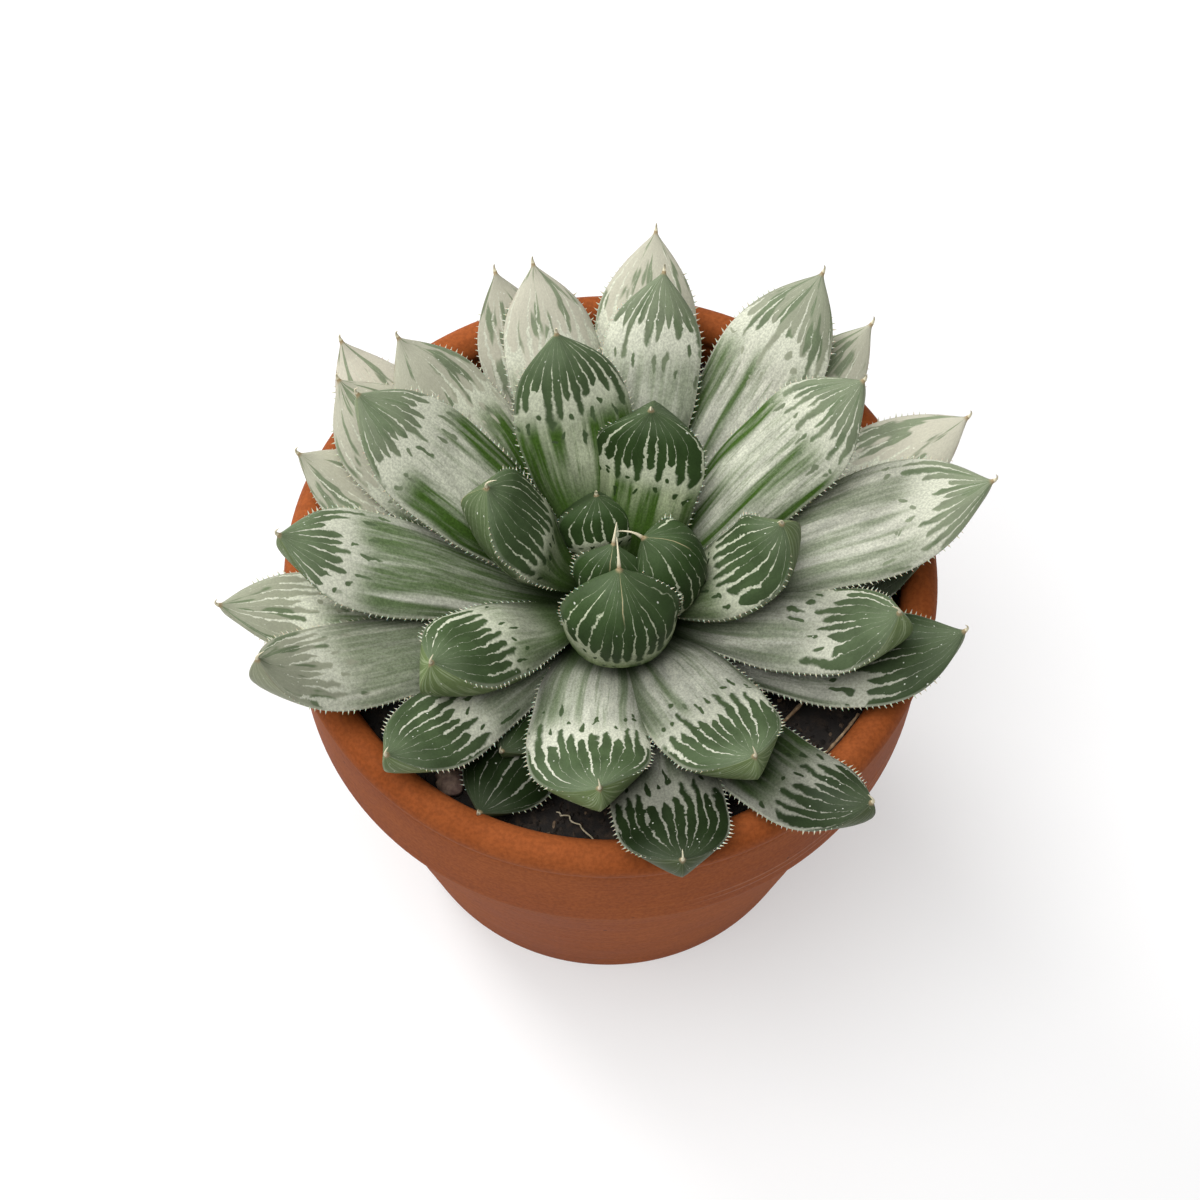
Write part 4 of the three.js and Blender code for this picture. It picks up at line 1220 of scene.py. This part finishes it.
class HAWORTHIA_OT_stem(bpy.types.Operator):
    """Gives the stem and roots their fleshy finish"""

    bl_idname = "haworthia.stem"
    bl_label = "Stem and Roots"

    def execute(self, context):
        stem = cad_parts["stem_and_roots"]
        tissue = stem_material()
        for place in stem.material_slots:
            place.material = tissue
        return {"FINISHED"}


class HAWORTHIA_OT_leaves(bpy.types.Operator):
    """Builds every leaf of the rosette with its toothed margin and its bristle"""

    bl_idname = "haworthia.leaves"
    bl_label = "Leaves"

    def execute(self, context):
        rosette = context.scene.haworthia_rosette
        seed = context.scene.haworthia_stage.seed
        tissue, horn = leaf_material(rosette), bristle_material()
        teeth = margin_teeth_tree()
        for index, name in enumerate(LEAVES):
            build_leaf(name, index, rosette, tissue, horn, teeth, seed)
        return {"FINISHED"}


def tube(points, radii, sides, wobble=0.0):
    """A closed round bar through points, as (vertices, faces)."""
    points = np.asarray(points, float)
    ways = np.gradient(points, axis=0)
    ways /= np.linalg.norm(ways, axis=1)[:, None]
    vertices = []
    for i, (point, way, radius) in enumerate(zip(points, ways, radii)):
        across = np.cross((0.0, 0.0, 1.0), way)
        across /= np.linalg.norm(across)
        over = np.cross(way, across)
        for j in range(sides):
            turn = math.tau * j / sides
            reach = radius * (1 + wobble * math.sin(3 * turn + 1.3 * i))
            vertices.append(point + reach * (math.cos(turn) * across + math.sin(turn) * over))
    faces = ring_faces(len(points), sides)
    last = (len(points) - 1) * sides
    faces.append(tuple(range(sides - 1, -1, -1)))
    faces.append(tuple(range(last, last + sides)))
    return vertices, faces


def bowed(start, middle, end, count):
    """Points on a curve that leaves start, passes near middle and reaches end."""
    t = np.linspace(0, 1, count)[:, None]
    start, middle, end = (np.asarray(p, float) for p in (start, middle, end))
    return (1 - t) ** 2 * start + 2 * t * (1 - t) * (2 * middle - (start + end) / 2) + t * t * end


def lay_twig(name, line, radius, stalk):
    """A dry twig, a little thicker at its knots."""
    thickness = []
    for k in range(TWIG_STEPS):
        knot = 0.22 if k in TWIG_KNOTS else 0.0
        thickness.append(radius * (0.8 + 0.12 * math.sin(1.7 * k) + knot))
    path = bowed(*line, TWIG_STEPS)
    piece = mesh_object(name + "_stalk", *tube(path, thickness, 12, 0.07), stalk)
    face_outwards(piece)
    keep(piece, name)


def lay_withered_leaf(husk):
    """The withered leaf: a creased, shrunken pod."""
    low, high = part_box("dry_leaf")
    middle = (low + high) / 2 / MM
    half_length, half_width, half_height = WITHERED_HALF_SIZE
    along = Vector((math.cos(WITHERED_TURN), math.sin(WITHERED_TURN), 0))
    side = Vector((-along.y, along.x, 0))
    rings, sides = 34, 40
    vertices = []
    for i in range(rings + 1):
        polar = math.pi * i / rings
        for j in range(sides):
            turn = math.tau * j / sides
            spot = Vector((math.cos(turn), math.sin(turn), 4 * polar))
            crease = 0.16 * math.sin(3 * turn + 2.6 * polar) + 0.22 * noise.noise(spot * 1.7)
            size = math.sin(polar) ** 0.8 * (1 + crease)
            point = middle - along * half_length * math.cos(polar)
            point += side * half_width * size * math.cos(turn)
            point.z += half_height * size * math.sin(turn)
            vertices.append(tuple(point))
    faces = ring_faces(rings + 1, sides)
    piece = mesh_object("withered_leaf", vertices, faces, husk)
    face_outwards(piece, merge=1e-6)
    keep(piece, "dry_leaf")


def lay_fibre(radius, straw):
    """The loose fibre, bent a little this way and that."""
    path = bowed(*FIBRE, FIBRE_STEPS)
    for k in range(FIBRE_STEPS):
        path[k] += (0.25 * math.sin(0.9 * k), 0.2 * math.cos(0.7 * k), 0)
    fibre = mesh_object("loose_fibre", *tube(path, [radius] * FIBRE_STEPS, 8), straw)
    face_outwards(fibre)
    keep(fibre, None)


class HAWORTHIA_OT_litter(bpy.types.Operator):
    """Lays the two dry twigs, the withered leaf and the loose fibre on the mix"""

    bl_idname = "haworthia.litter"
    bl_label = "Dry Litter"

    def execute(self, context):
        litter = context.scene.haworthia_litter
        stalk = dry_material("dry_stalk", litter.twig, (0.4, 0.28, 0.16), 700.0)
        husk = dry_material("withered_skin", litter.withered, (0.32, 0.22, 0.16), 300.0)
        straw = dry_material("dry_fibre", (0.5, 0.42, 0.28), (0.68, 0.6, 0.44), 900.0)
        for name, (*line, radius) in TWIGS.items():
            lay_twig(name, line, radius, stalk)
        lay_withered_leaf(husk)
        lay_fibre(litter.fibre_radius / MM, straw)
        return {"FINISHED"}


def lay_floor(stage):
    half = stage.floor_size / 2 / MM
    corners = [(-half, -half, 0), (half, -half, 0), (half, half, 0), (-half, half, 0)]
    floor = mesh_object("pale_floor", corners, [(0, 1, 2, 3)], floor_material(stage.floor_glow))
    floor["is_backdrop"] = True


def soft_sky(strength):
    world = bpy.data.worlds.new("soft_daylight")
    world.use_nodes = True
    sky = world.node_tree.nodes["Background"].inputs
    sky["Color"].default_value = (0.96, 0.98, 1.0, 1.0)
    sky["Strength"].default_value = strength
    return world


def hang_lamp(name, place, size, power):
    """A soft round lamp that looks at the plant."""
    lamp = bpy.data.lights.new(name, "AREA")
    lamp.shape, lamp.size, lamp.energy = "DISK", size, power
    holder = bpy.data.objects.new(name, lamp)
    holder.location = place
    aim = LAMP_AIM - Vector(place)
    holder.rotation_euler = aim.to_track_quat("-Z", "Y").to_euler()
    bpy.context.scene.collection.objects.link(holder)


def photo_camera(stage):
    """The camera, where the photo was taken from."""
    back = Vector((0.0, -math.cos(stage.elevation), math.sin(stage.elevation)))
    right = Vector((1, 0, 0))
    up = back.cross(right)
    cos, sin = math.cos(stage.roll), math.sin(stage.roll)
    turn = Matrix((right * cos + up * sin, up * cos - right * sin, back)).transposed().to_4x4()
    camera = bpy.data.cameras.new("photo_camera")
    camera.lens, camera.sensor_width, camera.clip_end = stage.lens, SENSOR_WIDTH, 20.0
    holder = bpy.data.objects.new("photo_camera", camera)
    holder.matrix_world = Matrix.Translation(CAMERA_AIM + back * stage.distance) @ turn
    bpy.context.scene.collection.objects.link(holder)
    return holder


class HAWORTHIA_OT_stage(bpy.types.Operator):
    """Sets the pale floor, the soft lights and the camera"""

    bl_idname = "haworthia.stage"
    bl_label = "Stage"

    def execute(self, context):
        scene = context.scene
        stage = scene.haworthia_stage
        lay_floor(stage)
        scene.world = soft_sky(stage.sky)
        for name, (place, size, share) in LAMPS.items():
            hang_lamp(name, place, size, stage.key_power * share)
        scene.camera = photo_camera(stage)
        scene.view_settings.view_transform = "Standard"
        return {"FINISHED"}


OPERATORS = (
    HAWORTHIA_OT_pot,
    HAWORTHIA_OT_potting_mix,
    HAWORTHIA_OT_stem,
    HAWORTHIA_OT_leaves,
    HAWORTHIA_OT_litter,
    HAWORTHIA_OT_stage,
)
SETTINGS = {
    "haworthia_pot": ClayPotSettings,
    "haworthia_soil": PottingMixSettings,
    "haworthia_rosette": RosetteSettings,
    "haworthia_litter": LitterSettings,
    "haworthia_stage": StageSettings,
}


class HAWORTHIA_PT_panel(bpy.types.Panel):
    """Lists the operators and the settings of the potted haworthia"""

    bl_idname = "HAWORTHIA_PT_panel"
    bl_label = "Potted Haworthia"
    bl_space_type = "VIEW_3D"
    bl_region_type = "UI"
    bl_category = "Haworthia"

    def draw(self, context):
        for operator in OPERATORS:
            self.layout.operator(operator.bl_idname)
        for key, kind in SETTINGS.items():
            box = self.layout.box()
            box.label(text=key.split("_")[1].title())
            for name in kind.__annotations__:
                box.prop(getattr(context.scene, key), name)


def register():
    for kind in (*SETTINGS.values(), *OPERATORS, HAWORTHIA_PT_panel):
        bpy.utils.register_class(kind)
    for key, kind in SETTINGS.items():
        setattr(bpy.types.Scene, key, PointerProperty(type=kind))


def unregister():
    for key in SETTINGS:
        delattr(bpy.types.Scene, key)
    for kind in (HAWORTHIA_PT_panel, *reversed(OPERATORS), *reversed(SETTINGS.values())):
        bpy.utils.unregister_class(kind)


def main():
    register()
    bpy.ops.haworthia.pot()
    bpy.ops.haworthia.potting_mix()
    bpy.ops.haworthia.stem()
    bpy.ops.haworthia.leaves()
    bpy.ops.haworthia.litter()
    bpy.ops.haworthia.stage()
    boxes = {"cad": CAD_BOX, "visual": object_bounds()}
    {name: [list(corner) for corner in box] for name, box in boxes.items()}


if __name__ == "__main__":
    main()
